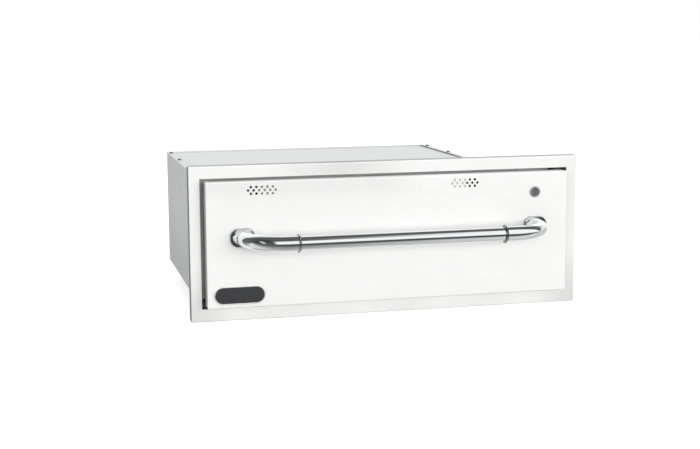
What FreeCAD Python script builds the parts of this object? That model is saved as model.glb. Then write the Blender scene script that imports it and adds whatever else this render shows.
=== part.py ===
# Built-in electric warming drawer, modelled piece by piece.
# Millimetres. X to the right, Y to the back, Z up. The origin is the centre of the
# trim frame, in the plane of the cabinet's face.
import FreeCAD, Part
import math
import os

V = FreeCAD.Vector
LEFT, RIGHT = -1, 1

# Sheet and running clearances
SHEET = 1.2              # trim frame, drawer front and outer body
THIN = 1.0               # liner, tub, shutters
SEAT = 0.1               # radial clearance of a piece seated in a hole
RUN = 0.3                # clearance between pieces that slide past each other

# Trim frame
TRIM_W = 762.0
TRIM_H = 291.4
TRIM_BORDER = 21.4       # left and right of the opening
TRIM_RAIL = 24.4         # above and below the opening
TRIM_DEPTH = 18.0        # trim face to cabinet face
TRIM_LIP = 12.0
TRIM_EDGE_R = 2.6
TRIM_CORNER_R = 3.0
OPENING_EDGE_R = 1.9
RETURN_DEPTH = 40.0      # trim face to the face plate
JAMB_HOLE_R = 2.5
JAMB_HOLE_DEPTH = 11.0   # behind the cabinet face
JAMB_HOLE_PITCH = 180.0

# Outer body
BODY_DEPTH = 463.2       # cabinet face to the back
BODY_LEFT_PAST = 7.1     # left wall outside the opening
BODY_ABOVE = 6.9         # top above the opening
BODY_RAISED = 12.6       # bottom above the opening's lower edge
CONTROL_ZONE = 134.6     # right wall inside the opening's right edge
BODY_BEND_R = 2.0
HEM = 2.4                # doubled sheet of the side panels' top flanges
FLANGE_W = 16.0
PANEL_SCREW_LEFT_INSET = 6.0
PANEL_SCREW_RIGHT_INSET = 10.0
PANEL_SCREW_FRONT_Y = 128.0
PANEL_SCREW_BACK_GAP = 34.0
PANEL_SCREW_ROWS = 3
PANEL_SCREW_HEAD_R = 5.2
PANEL_SCREW_HEAD_H = 3.6
PANEL_SCREW_R = 2.0
PANEL_SCREW_LENGTH = 5.0

# Warm cavity
CAVITY_LEFT_WALL = 34.7  # body to cavity, inside faces of the cavity
CAVITY_RIGHT_WALL = 25.0
CAVITY_FLOOR = 16.7
CAVITY_ROOF = 34.2
LINER_FLANGE = 9.0
WRAP = 20.0              # insulation on the sides, top and back

# Drawer front
FRONT_SIDE_GAP = 6.6
FRONT_END_GAP = 4.3
FRONT_PROUD = 22.4       # drawer face to trim face
FRONT_DEPTH = 30.4
FRONT_EDGE_R = 2.0
FRONT_CORNER_R = 2.4
GASKET_W = 10.0
GASKET_T = 10.0
GASKET_MARGIN = 3.0      # cavity mouth to the gasket's inner edge
GASKET_ROUND = 3.6
GASKET_CORNER_R = 12.0
GASKET_HOLE_R = 2.0
PLUG_MARGIN = 2.0        # gasket's outer edge to the plug's side
PLUG_EDGE_R = 3.0

# Handle
HANDLE_INSET = 67.0      # drawer's side to each stem
HANDLE_Z = 13.9
HANDLE_REACH = 90.6      # drawer face to the bar's axis
HANDLE_BEND_R = 75.0
ELBOW_R = 14.0
STEM_W = 39.0
STEM_H = 28.8
BASE_W = 47.0
BASE_H = 35.4
BASE_T = 4.5
BASE_CORNER_R = 15.0
BASE_EDGE_R = 1.6
BAR_R = 12.7
BAR_WALL = 1.5
ARM_LEFT = 10.1          # straight part of each elbow, along the tube
ARM_RIGHT = 16.6
COLLAR_W = 4.2
COLLAR_R = 17.3
COLLAR_NECK_R = 14.6
BOLT_R = 4.0
BOLT_GRIP = 14.0
BOLT_HEAD_R = 6.5
BOLT_HEAD_H = 5.0
BACKING_W = 60.0
BACKING_H = 46.0
BACKING_T = 3.0
BACKING_CORNER_R = 4.0

# Badge plate
BADGE_INSET = 60.0       # drawer's left side to the badge's centre
BADGE_RISE = 23.9        # drawer's lower edge to the badge's centre
BADGE_W = 96.4
BADGE_H = 34.2
BADGE_RIM = 2.2
BADGE_RIM_T = 3.4
BADGE_PLATE_T = 1.8
BADGE_EDGE_R = 1.05

# Pilot lamp and its sight ring
LAMP_INSET = 67.1        # drawer's right side to the lamp
LAMP_DROP = 38.6         # drawer's top to the lamp
LAMP_RING_R = 11.0
LAMP_RING_PROUD = 2.2
LAMP_TUBE_R = 9.6
LAMP_MOUTH_R = 7.8
LAMP_BORE_R = 4.9
LAMP_CONE_DEPTH = 11.0
LAMP_HOUSING_R = 6.0
LAMP_HOUSING_L = 32.0
LAMP_FLANGE_R = 8.0
LAMP_FLANGE_T = 1.5
PILOT_LENS_R = 5.0
PILOT_LENS_L = 9.0

# Vent clusters and shutters
VENT_DROP = 16.3         # drawer's top to the middle row
VENT_LEFT_INSET = 83.4   # cavity's left wall to the left cluster
VENT_RIGHT_INSET = 57.0  # cavity's right wall to the right cluster
VENT_PITCH = 10.2
VENT_ROW = 6.15
VENT_HOLE_R = 2.4
SHUTTER_W = 60.0
SHUTTER_ABOVE = 10.0     # over and under the middle row
SHUTTER_BELOW = 14.0
SHUTTER_LEFT_SHIFT = 22.2    # how far each shutter stands open at rest
SHUTTER_RIGHT_SHIFT = 27.3
SHUTTER_END = 3.0
GUIDE_H = 4.0
GUIDE_LAP = 1.2
TAB_W = 8.0
TAB_T = 1.5
TAB_RISE = 1.7               # shutter's lower edge to the tab
TAB_PAST = 14.0              # tab behind the plug
DUCT_START = 4.0             # room for the shutters behind the front sheet
DUCT_MARGIN = 3.0            # round the holes and the tab's sweep

# Telescopic slides, three members
SLIDE_SPACE = 13.0           # cavity wall to tub side
SLIDE_FRONT_GAP = 3.8        # face plate to the slides
SLIDE_BACK_GAP = 14.0
SLIDE_SHORT = 20.0           # moving members shorter than the fixed one
SLIDE_RISE = 56.0            # tub's floor to the slides' middle
SLIDE_HALF_H = 22.5
SLIDE_SHEET = 1.2
SLIDE_LIP = 1.8
SLIDE_LIP_T = 1.0
OUTER_FLANGE = 7.6           # how far each member reaches from the cavity wall
MIDDLE_WEB = 2.0
MIDDLE_FLANGE = 10.8
INNER_FLANGE = 5.4
RACE = 3.6                   # flange to flange, where the balls run
BALL_R = 1.5
BALL_PITCH = 26.0
OUTER_BALL = 4.2             # cavity wall to the balls
INNER_BALL = 7.5
CAGE_W = 3.9
CAGE_T = 1.4
CAGE_HOLE_R = 1.65
RIVET_R = 2.0
RIVET_HEAD_R = 4.0
RIVET_HEAD_T = 1.4
RIVET_INSET = 40.0

# Drawer tub, food pan and rack
TUB_RISE = 26.0              # cavity floor to the tub
TUB_ROOF_GAP = 18.0          # tub's rim to the cavity's roof
TUB_BACK_GAP = 29.3
TUB_FLANGE = 6.0
TUB_LEDGE = 40.0
PAN_SHEET = 0.8
PAN_RIM = 11.0
PAN_SEAT = 3.0               # how far the pan's rim laps the tub
PAN_CORNER_R = 22.0
PAN_FOOT_R = 14.0
PAN_FLOOR_GAP = 5.0
RACK_FRAME_R = 2.5
RACK_WIRE_R = 1.5
RACK_WELD = 0.6
RACK_PITCH = 26.0
RACK_GAP = 16.0              # pan wall to the rack's frame
RACK_CORNER_R = 14.0

# Heating element
ELEMENT_R = 3.3
ELEMENT_RISE = 12.0          # cavity floor to the element
ELEMENT_FRONT_GAP = 66.8
ELEMENT_BACK_GAP = 61.0
ELEMENT_SIDE_GAP = 42.0
ELEMENT_RUN_GAP = 90.0       # between the runs at the back and at the front
ELEMENT_TURN_INSET = 25.0    # inner left bend to the outer one, centre to centre
ELEMENT_PAST = 7.0           # sheath outside the body's wall
PIN_R = 1.4
PIN_LENGTH = 13.0
BUSHING_R = 6.0
BUSHING_FLANGE_R = 9.0
BUSHING_FLANGE_T = 2.5
BUSHING_PAST = 3.0
CLIP_W = 10.0
CLIP_D = 16.0
CLIP_ABOVE = 6.0
CLIP_INSET = 40.0

# Control compartment
BOX_SIDE_GAP = 2.8           # inside the opening's right edge
BOX_RAISED = 17.0            # above the opening's lower edge
BOX_LOWERED = 27.0           # below the opening's upper edge
BOX_DEPTH = 190.0
BOX_FLANGE = 14.0
COVER_SCREW_INSET = 24.0
COVER_SCREW_EDGE = 8.4
COVER_SCREW_R = 1.6
COVER_SCREW_HEAD_R = 3.6
COVER_SCREW_HEAD_H = 2.2
COVER_SCREW_LENGTH = 6.0
KNOB_DROP = 90.4             # lamp to the knob below it
KNOB_R = 19.0
KNOB_SKIRT_R = 22.0
KNOB_SKIRT_T = 4.0
KNOB_BODY_T = 7.0
KNOB_DEPTH = 20.0
KNOB_GAP = 1.2
KNOB_CHAMFER = 1.5
GRIP_W = 11.0
GRIP_END_R = 5.0
DIAL_R = 34.0
DIAL_T = 0.6
SHAFT_R = 3.0
SHAFT_IN_KNOB = 14.0
SHAFT_IN_BODY = 12.0
SHAFT_CLEAR = 0.05
STEM_BUSH_R = 5.0
THERMOSTAT_W = 40.0
THERMOSTAT_H = 44.0
THERMOSTAT_D = 42.0
BULB_R = 3.0
BULB_LENGTH = 90.0
BULB_FRONT_GAP = 71.8        # face plate to the bulb
BULB_RISE = 40.0             # cavity floor to the bulb
CAPILLARY_R = 0.8
CAPILLARY_BEND = 7.0
CAPILLARY_LEAD = 17.0        # bulb to the hole in the wall
CAPILLARY_PAST = 16.0        # outside the body's wall
CAPILLARY_HOLE_R = 2.5
LIMIT_R = 9.0
LIMIT_T = 8.0
LIMIT_BACK = 106.8           # face plate to the switch
LIMIT_DROP = 54.0            # cavity roof to the switch
LIMIT_EAR_W = 32.0
LIMIT_EAR_H = 10.0
LIMIT_EAR_T = 1.2
LIMIT_TAB_L = 8.0
LIMIT_TAB_W = 6.2
LIMIT_TAB_T = 0.8
LIMIT_TAB_SPACE = 5.0
BLOCK_W = 60.0
BLOCK_D = 24.0
BLOCK_H = 20.0
BLOCK_INSET = 37.0           # body's wall to the block
BLOCK_BEFORE = 30.0          # block's front before the element's second end
BLOCK_WAYS = 3
BLOCK_WELL_R = 3.0
BLOCK_WELL_DEPTH = 8.0
GLAND_INSET = 85.0           # body's wall to the gland
GLAND_RISE = 65.0            # compartment's floor to the gland
GLAND_BORE_R = 4.5
GLAND_THREAD_R = 8.0
GLAND_HEX_R = 12.0
GLAND_HEX_T = 6.0
GLAND_CAP_R = 10.3
GLAND_CAP_L = 16.0
GLAND_MOUTH = 3.0
GLAND_INSIDE = 9.0
LOCKNUT_T = 5.0
WIRE_R = 1.2
WIRE_BEND = 5.0
WIRE_LOOP = 14.0

# Corner bumpers the drawer front closes against
BUMPER_W = 13.0
BUMPER_H = 12.0
BUMPER_INSET = 9.0

# Planes and spans worked out from the sizes above
TRIM_FACE = -TRIM_DEPTH
PLATE_FACE = TRIM_FACE + RETURN_DEPTH
PLATE_BACK = PLATE_FACE + SHEET
OPEN_X = (TRIM_BORDER - TRIM_W / 2, TRIM_W / 2 - TRIM_BORDER)
OPEN_Z = (TRIM_RAIL - TRIM_H / 2, TRIM_H / 2 - TRIM_RAIL)
BODY_LEFT = OPEN_X[0] - BODY_LEFT_PAST
BODY_RIGHT = OPEN_X[1] - CONTROL_ZONE
BODY_BOTTOM = OPEN_Z[0] + BODY_RAISED
BODY_TOP = OPEN_Z[1] + BODY_ABOVE
BODY_BACK_INSIDE = BODY_DEPTH - SHEET
PANEL_TOP = BODY_TOP - HEM
CAVITY_X = (BODY_LEFT + CAVITY_LEFT_WALL, BODY_RIGHT - CAVITY_RIGHT_WALL)
CAVITY_Z = (BODY_BOTTOM + CAVITY_FLOOR, BODY_TOP - CAVITY_ROOF)
LINER_BACK = BODY_BACK_INSIDE - WRAP
CAVITY_BACK = LINER_BACK - THIN
DRAWER_FACE = TRIM_FACE - FRONT_PROUD
FRONT_INSIDE = DRAWER_FACE + SHEET
FRONT_BACK = DRAWER_FACE + FRONT_DEPTH
FRONT_X = (OPEN_X[0] + FRONT_SIDE_GAP, OPEN_X[1] - FRONT_SIDE_GAP)
FRONT_Z = (OPEN_Z[0] + FRONT_END_GAP, OPEN_Z[1] - FRONT_END_GAP)
PLUG_BACK = PLATE_FACE - RUN - GASKET_T
HANDLE_X = FRONT_X[1] - HANDLE_INSET
BAR_Y = DRAWER_FACE - HANDLE_REACH
BEND_X = HANDLE_X - HANDLE_BEND_R
BEND_Y = BAR_Y + HANDLE_BEND_R
BADGE_X = FRONT_X[0] + BADGE_INSET
BADGE_Z = FRONT_Z[0] + BADGE_RISE
LAMP_X = FRONT_X[1] - LAMP_INSET
LAMP_Z = FRONT_Z[1] - LAMP_DROP
VENT_Z = FRONT_Z[1] - VENT_DROP
VENT_LEFT_X = CAVITY_X[0] + VENT_LEFT_INSET
VENT_RIGHT_X = CAVITY_X[1] - VENT_RIGHT_INSET
SHUTTER_Z = (VENT_Z - SHUTTER_BELOW, VENT_Z + SHUTTER_ABOVE)
TAB_Z = (SHUTTER_Z[0] + TAB_RISE, SHUTTER_Z[0] + TAB_RISE + TAB_T)
TUB_X = (CAVITY_X[0] + SLIDE_SPACE, CAVITY_X[1] - SLIDE_SPACE)
TUB_Y = (PLUG_BACK, CAVITY_BACK - TUB_BACK_GAP)
TUB_Z = (CAVITY_Z[0] + TUB_RISE, CAVITY_Z[1] - TUB_ROOF_GAP)
SLIDE_START = PLATE_BACK + SLIDE_FRONT_GAP
SLIDE_LENGTH = CAVITY_BACK - SLIDE_BACK_GAP - SLIDE_START
SLIDE_TRAVEL = SLIDE_LENGTH - SLIDE_SHORT    # the moving members are as long as the travel
SLIDE_Z = TUB_Z[0] + SLIDE_RISE
OUTER_INSIDE = SLIDE_HALF_H - SLIDE_SHEET
MIDDLE_HALF_H = OUTER_INSIDE - RACE
MIDDLE_INSIDE = MIDDLE_HALF_H - SLIDE_SHEET
INNER_HALF_H = MIDDLE_INSIDE - RACE
ELEMENT_Z = CAVITY_Z[0] + ELEMENT_RISE
ELEMENT_FRONT_Y = PLATE_BACK + ELEMENT_FRONT_GAP
ELEMENT_BACK_Y = CAVITY_BACK - ELEMENT_BACK_GAP
ELEMENT_INNER_Y = ELEMENT_BACK_Y - ELEMENT_RUN_GAP
ELEMENT_RETURN_Y = ELEMENT_FRONT_Y + ELEMENT_RUN_GAP
ELEMENT_LEFT_X = CAVITY_X[0] + ELEMENT_SIDE_GAP + (ELEMENT_BACK_Y - ELEMENT_FRONT_Y) / 2
ELEMENT_RIGHT_X = CAVITY_X[1] - ELEMENT_SIDE_GAP - ELEMENT_RUN_GAP / 2
ELEMENT_TURN_X = ELEMENT_LEFT_X + ELEMENT_TURN_INSET
ELEMENT_END = BODY_RIGHT + ELEMENT_PAST
BOX_RIGHT = OPEN_X[1] - BOX_SIDE_GAP
BOX_Z = (OPEN_Z[0] + BOX_RAISED, OPEN_Z[1] - BOX_LOWERED)
BOX_BACK = PLATE_BACK + BOX_DEPTH
KNOB_X = LAMP_X
KNOB_Z = LAMP_Z - KNOB_DROP
KNOB_BACK = PLATE_FACE - DIAL_T - KNOB_GAP
THERMOSTAT_BACK = PLATE_BACK + THERMOSTAT_D
BULB_X = CAVITY_X[1] - RUN - BULB_R
BULB_Y = PLATE_BACK + BULB_FRONT_GAP
BULB_Z = CAVITY_Z[0] + BULB_RISE
CAPILLARY_Y = BULB_Y - CAPILLARY_LEAD
LIMIT_Y = PLATE_BACK + LIMIT_BACK
LIMIT_Z = CAVITY_Z[1] - LIMIT_DROP
BLOCK_X = BODY_RIGHT + BLOCK_INSET
BLOCK_Y = ELEMENT_RETURN_Y - BLOCK_BEFORE
BLOCK_FLOOR = BOX_Z[0] + SHEET
BLOCK_TOP = BLOCK_FLOOR + BLOCK_H
GLAND_X = BODY_RIGHT + GLAND_INSET
GLAND_Z = BOX_Z[0] + GLAND_RISE


# ---------------------------------------------------------------- shape helpers

def grow(span, by):
    """A (low, high) span made longer at both ends."""
    return (span[0] - by, span[1] + by)


def middle(span):
    return (span[0] + span[1]) / 2


def ordered(a, b):
    return (min(a, b), max(a, b))


def box(x, y, z):
    """A block from its three (low, high) spans."""
    return Part.makeBox(x[1] - x[0], y[1] - y[0], z[1] - z[0], V(x[0], y[0], z[0]))


def rod(radius, start, end):
    """A round bar between two points."""
    axis = end.sub(start)
    return Part.makeCylinder(radius, axis.Length, start, axis)


def place(shape, position, direction):
    """Stands a shape, built along +Z from the origin, at a position and direction."""
    turned = shape.copy()
    turned.Placement = FreeCAD.Placement(position, FreeCAD.Rotation(V(0, 0, 1), direction))
    return turned


def turned_profile(points):
    """A round piece about Z from its (radius, height) outline."""
    outline = Part.makePolygon([V(r, 0, h) for r, h in points + points[:1]])
    return Part.Face(outline).revolve(V(0, 0, 0), V(0, 0, 1), 360)


def joined(shapes):
    whole = shapes[0].fuse(shapes[1:]) if len(shapes) > 1 else shapes[0]
    return whole.removeSplitter()


def ring(outer_x, outer_z, inner_x, inner_z, y):
    """A rectangular frame lying in the XZ plane."""
    return box(outer_x, y, outer_z).cut(box(inner_x, grow(y, 1), inner_z))


def rounded(shape, radius, wanted):
    """Fillets the edges that the test accepts."""
    return shape.makeFillet(radius, [edge for edge in shape.Edges if wanted(edge)])


def runs_along_y(edge):
    ends = [vertex.Point for vertex in edge.Vertexes]
    if len(ends) != 2:
        return False
    step = ends[1].sub(ends[0])
    return abs(step.x) < 1e-6 and abs(step.z) < 1e-6


def lies_at_y(edge, y):
    return abs(edge.BoundBox.YMin - y) < 1e-6 and abs(edge.BoundBox.YMax - y) < 1e-6


def soft_block(x, y, z, corner_r, edge_r, face_y):
    """A block with rounded corners, and a rounded edge all round the face at face_y."""
    block = rounded(box(x, y, z), corner_r, runs_along_y)
    return rounded(block, edge_r, lambda edge: lies_at_y(edge, face_y))


def tray(x, y, z, sheet, corner_r, edge_r):
    """A folded tray: a face at the front of the y span, four walls and an open back."""
    outside = soft_block(x, y, z, corner_r, edge_r, y[0])
    hollow_y = (y[0] + sheet, y[1] + 1)
    inside = soft_block(grow(x, -sheet), hollow_y, grow(z, -sheet),
                        corner_r - sheet, edge_r - sheet, hollow_y[0])
    return outside.cut(inside)


def facing_back(shape, y):
    """Turns a shape front to back inside its own y span."""
    return shape.mirror(V(0, middle(y), 0), V(0, 1, 0))


def rounded_prism(x, z, width, height, corner, y):
    """A plate with rounded corners, centred on (x, z) and spanning y."""
    left, right = x - width / 2 + corner, x + width / 2 - corner
    low, high = z - height / 2 + corner, z + height / 2 - corner
    edges = []
    centres = [(right, high, 0), (left, high, 90), (left, low, 180), (right, low, 270)]
    for centre_x, centre_z, start in centres:
        on_arc = []
        for angle in (start, start + 45, start + 90):
            turn = math.radians(angle)
            on_arc.append(V(centre_x + corner * math.cos(turn), y[0],
                            centre_z + corner * math.sin(turn)))
        if edges:
            edges += straight(edges[-1].Vertexes[-1].Point, on_arc[0])
        edges.append(Part.Arc(*on_arc).toShape())
    edges += straight(edges[-1].Vertexes[-1].Point, edges[0].Vertexes[0].Point)
    face = Part.Face(Part.Wire(Part.__sortEdges__(edges)))
    return face.extrude(V(0, y[1] - y[0], 0))


def straight(start, end):
    """One edge between two points, or none if they are the same point."""
    if start.distanceToPoint(end) < 1e-6:
        return []
    return [Part.makeLine(start, end)]


def bent_tube(radius, points, bend):
    """A round tube along straight runs joined by arcs of one bend radius."""
    edges = []
    start = points[0]
    for corner, after in zip(points[1:-1], points[2:]):
        back = start.sub(corner).normalize()
        ahead = after.sub(corner).normalize()
        half = back.getAngle(ahead) / 2
        reach = bend / math.tan(half)
        middle_way = back.add(ahead).normalize()
        depth = bend / math.sin(half) - bend
        first = corner.add(V(back).multiply(reach))
        last = corner.add(V(ahead).multiply(reach))
        through = corner.add(middle_way.multiply(depth))
        edges += straight(start, first)
        edges.append(Part.Arc(first, through, last).toShape())
        start = last
    edges += straight(start, points[-1])
    path = Part.Wire(edges)
    section = Part.Wire(Part.makeCircle(radius, points[0], points[1].sub(points[0])))
    return path.makePipeShell([section], True, False)


def screw(head_r, head_h, shank_r, length):
    """A domed screw: its head stands on z = 0 and its shank reaches down."""
    dome = Part.Arc(V(0, 0, head_h), V(head_r * 0.72, 0, head_h * 0.68), V(head_r, 0, 0)).toShape()
    rest = Part.makePolygon([V(head_r, 0, 0), V(shank_r, 0, 0), V(shank_r, 0, -length),
                             V(0, 0, -length), V(0, 0, head_h)])
    outline = Part.Wire([dome] + rest.Edges)
    return Part.Face(outline).revolve(V(0, 0, 0), V(0, 0, 1), 360)


# ---------------------------------------------------------------- trim and outer body

def jamb_holes(x):
    """The cabinet screws' holes through one side of the opening."""
    holes = []
    for z in (-JAMB_HOLE_PITCH / 2, JAMB_HOLE_PITCH / 2):
        holes.append(rod(JAMB_HOLE_R, V(x[0], JAMB_HOLE_DEPTH, z), V(x[1], JAMB_HOLE_DEPTH, z)))
    return holes


def trim_frame():
    x = (-TRIM_W / 2, TRIM_W / 2)
    z = (-TRIM_H / 2, TRIM_H / 2)
    slab = soft_block(x, (TRIM_FACE, 0), z, TRIM_CORNER_R, TRIM_EDGE_R, TRIM_FACE)
    neck = box(grow(OPEN_X, SHEET), (TRIM_FACE + SHEET, PLATE_FACE), grow(OPEN_Z, SHEET))
    opening = box(OPEN_X, (TRIM_FACE - 1, PLATE_FACE + 1), OPEN_Z)
    solid = joined([slab, neck]).cut(opening)

    def opening_edge(edge):
        bounds = edge.BoundBox
        within_x = OPEN_X[0] - 1e-6 <= bounds.XMin and bounds.XMax <= OPEN_X[1] + 1e-6
        within_z = OPEN_Z[0] - 1e-6 <= bounds.ZMin and bounds.ZMax <= OPEN_Z[1] + 1e-6
        return within_x and within_z and lies_at_y(edge, TRIM_FACE)

    solid = rounded(solid, OPENING_EDGE_R, opening_edge)
    hollow = soft_block(grow(x, -SHEET), (TRIM_FACE + SHEET, -SHEET), grow(z, -SHEET),
                        TRIM_CORNER_R - SHEET, TRIM_EDGE_R - SHEET, TRIM_FACE + SHEET)
    window = box(grow(x, -TRIM_LIP), (-2 * SHEET, 1), grow(z, -TRIM_LIP))
    kept = box(grow(OPEN_X, SHEET), (TRIM_FACE, PLATE_FACE), grow(OPEN_Z, SHEET))
    frame = solid.cut(joined([hollow, window]).cut(kept))
    holes = jamb_holes((OPEN_X[0] - 3, OPEN_X[0] + 1)) + jamb_holes((OPEN_X[1] - 1, OPEN_X[1] + 3))
    return frame.cut(holes)


def face_plate():
    """The chassis's front wall, with the cavity mouth and the controls' holes."""
    plate = box(grow(OPEN_X, SHEET), (PLATE_FACE, PLATE_BACK), grow(OPEN_Z, SHEET))
    mouth = box(CAVITY_X, (PLATE_FACE - 1, PLATE_BACK + 1), CAVITY_Z)
    lamp_hole = rod(LAMP_HOUSING_R + SEAT, V(LAMP_X, PLATE_FACE - 1, LAMP_Z),
                    V(LAMP_X, PLATE_BACK + 1, LAMP_Z))
    shaft_hole = rod(STEM_BUSH_R + SEAT, V(KNOB_X, PLATE_FACE - 1, KNOB_Z),
                     V(KNOB_X, PLATE_BACK + 1, KNOB_Z))
    return plate.cut([mouth, lamp_hole, shaft_hole])


def panel_screw_ys():
    last = BODY_BACK_INSIDE - PANEL_SCREW_BACK_GAP
    pitch = (last - PANEL_SCREW_FRONT_Y) / (PANEL_SCREW_ROWS - 1)
    return [PANEL_SCREW_FRONT_Y + pitch * row for row in range(PANEL_SCREW_ROWS)]


def panel_screw_places(side):
    """The top screws of one side panel, from the front backwards."""
    x = BODY_LEFT + PANEL_SCREW_LEFT_INSET if side == LEFT else BODY_RIGHT - PANEL_SCREW_RIGHT_INSET
    return [V(x, y, BODY_TOP) for y in panel_screw_ys()]


def screw_holes(places):
    return [rod(PANEL_SCREW_R + SEAT, V(p.x, p.y, p.z - 2 * PANEL_SCREW_LENGTH), V(p.x, p.y, p.z + 1))
            for p in places]


def side_panel(side):
    edge = BODY_LEFT if side == LEFT else BODY_RIGHT
    front = TRIM_FACE + SHEET if side == LEFT else PLATE_BACK
    y = (front, BODY_BACK_INSIDE)
    wall = box(ordered(edge, edge - side * SHEET), y, (BODY_BOTTOM, BODY_TOP))
    flange = box(ordered(edge, edge - side * FLANGE_W), y, (PANEL_TOP, BODY_TOP))
    panel = joined([wall, flange])

    def top_bend(edge_):
        bounds = edge_.BoundBox
        return abs(bounds.XMin - edge) + abs(bounds.XMax - edge) + abs(bounds.ZMin - BODY_TOP) < 1e-6

    panel = rounded(panel, BODY_BEND_R, top_bend)
    holes = screw_holes(panel_screw_places(side))
    if side == LEFT:
        holes += jamb_holes(grow(ordered(edge, edge - side * SHEET), 1))
    else:
        holes += side_wall_holes(grow(ordered(edge, edge - side * SHEET), 1))
    return panel.cut(holes)


def top_panel():
    x = (BODY_LEFT + SHEET, BODY_RIGHT - SHEET)
    panel = box(x, (TRIM_FACE + SHEET, BODY_BACK_INSIDE), (PANEL_TOP - SHEET, PANEL_TOP))
    return panel.cut(screw_holes(panel_screw_places(LEFT) + panel_screw_places(RIGHT)))


def bottom_panel():
    x = (BODY_LEFT + SHEET, BODY_RIGHT - SHEET)
    return box(x, (PLATE_BACK, BODY_BACK_INSIDE), (BODY_BOTTOM, BODY_BOTTOM + SHEET))


def back_panel():
    return box((BODY_LEFT, BODY_RIGHT), (BODY_BACK_INSIDE, BODY_DEPTH), (BODY_BOTTOM, BODY_TOP))


def panel_screws():
    part = screw(PANEL_SCREW_HEAD_R, PANEL_SCREW_HEAD_H, PANEL_SCREW_R, PANEL_SCREW_LENGTH)
    return [place(part, spot, V(0, 0, 1)) for spot in panel_screw_places(LEFT) + panel_screw_places(RIGHT)]


def corner_bumpers():
    """Rubber stops on a diagonal of the opening: lower left in the corner, upper right inset."""
    y = (FRONT_BACK + RUN, PLATE_FACE)
    lower_left = box((OPEN_X[0] + SEAT, OPEN_X[0] + SEAT + BUMPER_W), y,
                     (OPEN_Z[0] + SEAT, OPEN_Z[0] + SEAT + BUMPER_H))
    upper_end = OPEN_X[1] - BUMPER_INSET
    upper_right = box((upper_end - BUMPER_W, upper_end), y, (OPEN_Z[1] - SEAT - BUMPER_H, OPEN_Z[1] - SEAT))
    return [lower_left, upper_right]


# ---------------------------------------------------------------- warm cavity

def side_wall_holes(x):
    """What passes through the cavity's right wall: two element ends and the capillary."""
    holes = []
    for y in (ELEMENT_FRONT_Y, ELEMENT_RETURN_Y):
        holes.append(rod(BUSHING_R + SEAT, V(x[0], y, ELEMENT_Z), V(x[1], y, ELEMENT_Z)))
    holes.append(rod(CAPILLARY_HOLE_R, V(x[0], CAPILLARY_Y, BULB_Z), V(x[1], CAPILLARY_Y, BULB_Z)))
    return holes


def rivet_spots():
    """Where rivets hold each slide, as (y, z)."""
    first = SLIDE_START + RIVET_INSET
    last = SLIDE_START + SLIDE_TRAVEL - RIVET_INSET
    return [(y, SLIDE_Z) for y in (first, (first + last) / 2, last)]


def rivet_holes(wall, outward, radius, length):
    """Holes or pockets from a wall plane along +X or -X."""
    return [rod(radius, V(wall - outward * 0.01, y, z), V(wall + outward * length, y, z))
            for y, z in rivet_spots()]


def cavity_liner():
    outside = box(grow(CAVITY_X, THIN), (PLATE_BACK, LINER_BACK), grow(CAVITY_Z, THIN))
    flange = box(grow(CAVITY_X, LINER_FLANGE), (PLATE_BACK, PLATE_BACK + THIN), grow(CAVITY_Z, LINER_FLANGE))
    inside = box(CAVITY_X, (PLATE_BACK - 1, CAVITY_BACK), CAVITY_Z)
    holes = side_wall_holes(grow((CAVITY_X[1], CAVITY_X[1] + THIN), 0.5))
    holes += rivet_holes(CAVITY_X[0], LEFT, RIVET_R + SEAT, THIN + 0.5)
    holes += rivet_holes(CAVITY_X[1], RIGHT, RIVET_R + SEAT, THIN + 0.5)
    return joined([outside, flange]).cut([inside] + holes)


def insulation_wrap():
    """One blanket folded over the liner's sides and top."""
    y = (PLATE_BACK + THIN + SEAT, LINER_BACK)
    around = grow(CAVITY_X, THIN)
    blanket = box(grow(around, WRAP), y, (CAVITY_Z[0] - THIN, CAVITY_Z[1] + THIN + WRAP))
    hollow = box(around, grow(y, 1), (CAVITY_Z[0] - THIN - 1, CAVITY_Z[1] + THIN))
    flange = box(grow(CAVITY_X, LINER_FLANGE + SEAT), (y[0] - 1, y[0] + SEAT), grow(CAVITY_Z, LINER_FLANGE))
    pockets = side_wall_holes((around[1] - 1, around[1] + WRAP + 1))
    pockets += rivet_holes(around[0] - 0.01, LEFT, RIVET_HEAD_R + 0.5, RIVET_HEAD_T + 0.3)
    pockets += rivet_holes(around[1] + 0.01, RIGHT, RIVET_HEAD_R + 0.5, RIVET_HEAD_T + 0.3)
    return blanket.cut([hollow, flange] + pockets)


def insulation_back():
    return box(grow(CAVITY_X, THIN), (LINER_BACK, BODY_BACK_INSIDE), grow(CAVITY_Z, THIN))


def insulation_floor():
    y = (PLATE_BACK + THIN + SEAT, LINER_BACK)
    return box(grow(CAVITY_X, THIN + WRAP), y, (BODY_BOTTOM + SHEET, CAVITY_Z[0] - THIN))


def element_points():
    """The heater's route: four runs across the cavity floor, both ends at the right."""
    return [(ELEMENT_END, ELEMENT_FRONT_Y), (ELEMENT_LEFT_X, ELEMENT_FRONT_Y),
            (ELEMENT_LEFT_X, ELEMENT_BACK_Y), (ELEMENT_RIGHT_X, ELEMENT_BACK_Y),
            (ELEMENT_RIGHT_X, ELEMENT_INNER_Y), (ELEMENT_TURN_X, ELEMENT_INNER_Y),
            (ELEMENT_TURN_X, ELEMENT_RETURN_Y), (ELEMENT_END, ELEMENT_RETURN_Y)]


def half_turn(x, y_from, y_to, side):
    """A half circle in plan that joins two runs at the same x."""
    radius = abs(y_to - y_from) / 2
    centre_y = (y_from + y_to) / 2
    return Part.Arc(V(x, y_from, ELEMENT_Z), V(x + side * radius, centre_y, ELEMENT_Z),
                    V(x, y_to, ELEMENT_Z)).toShape()


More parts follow.
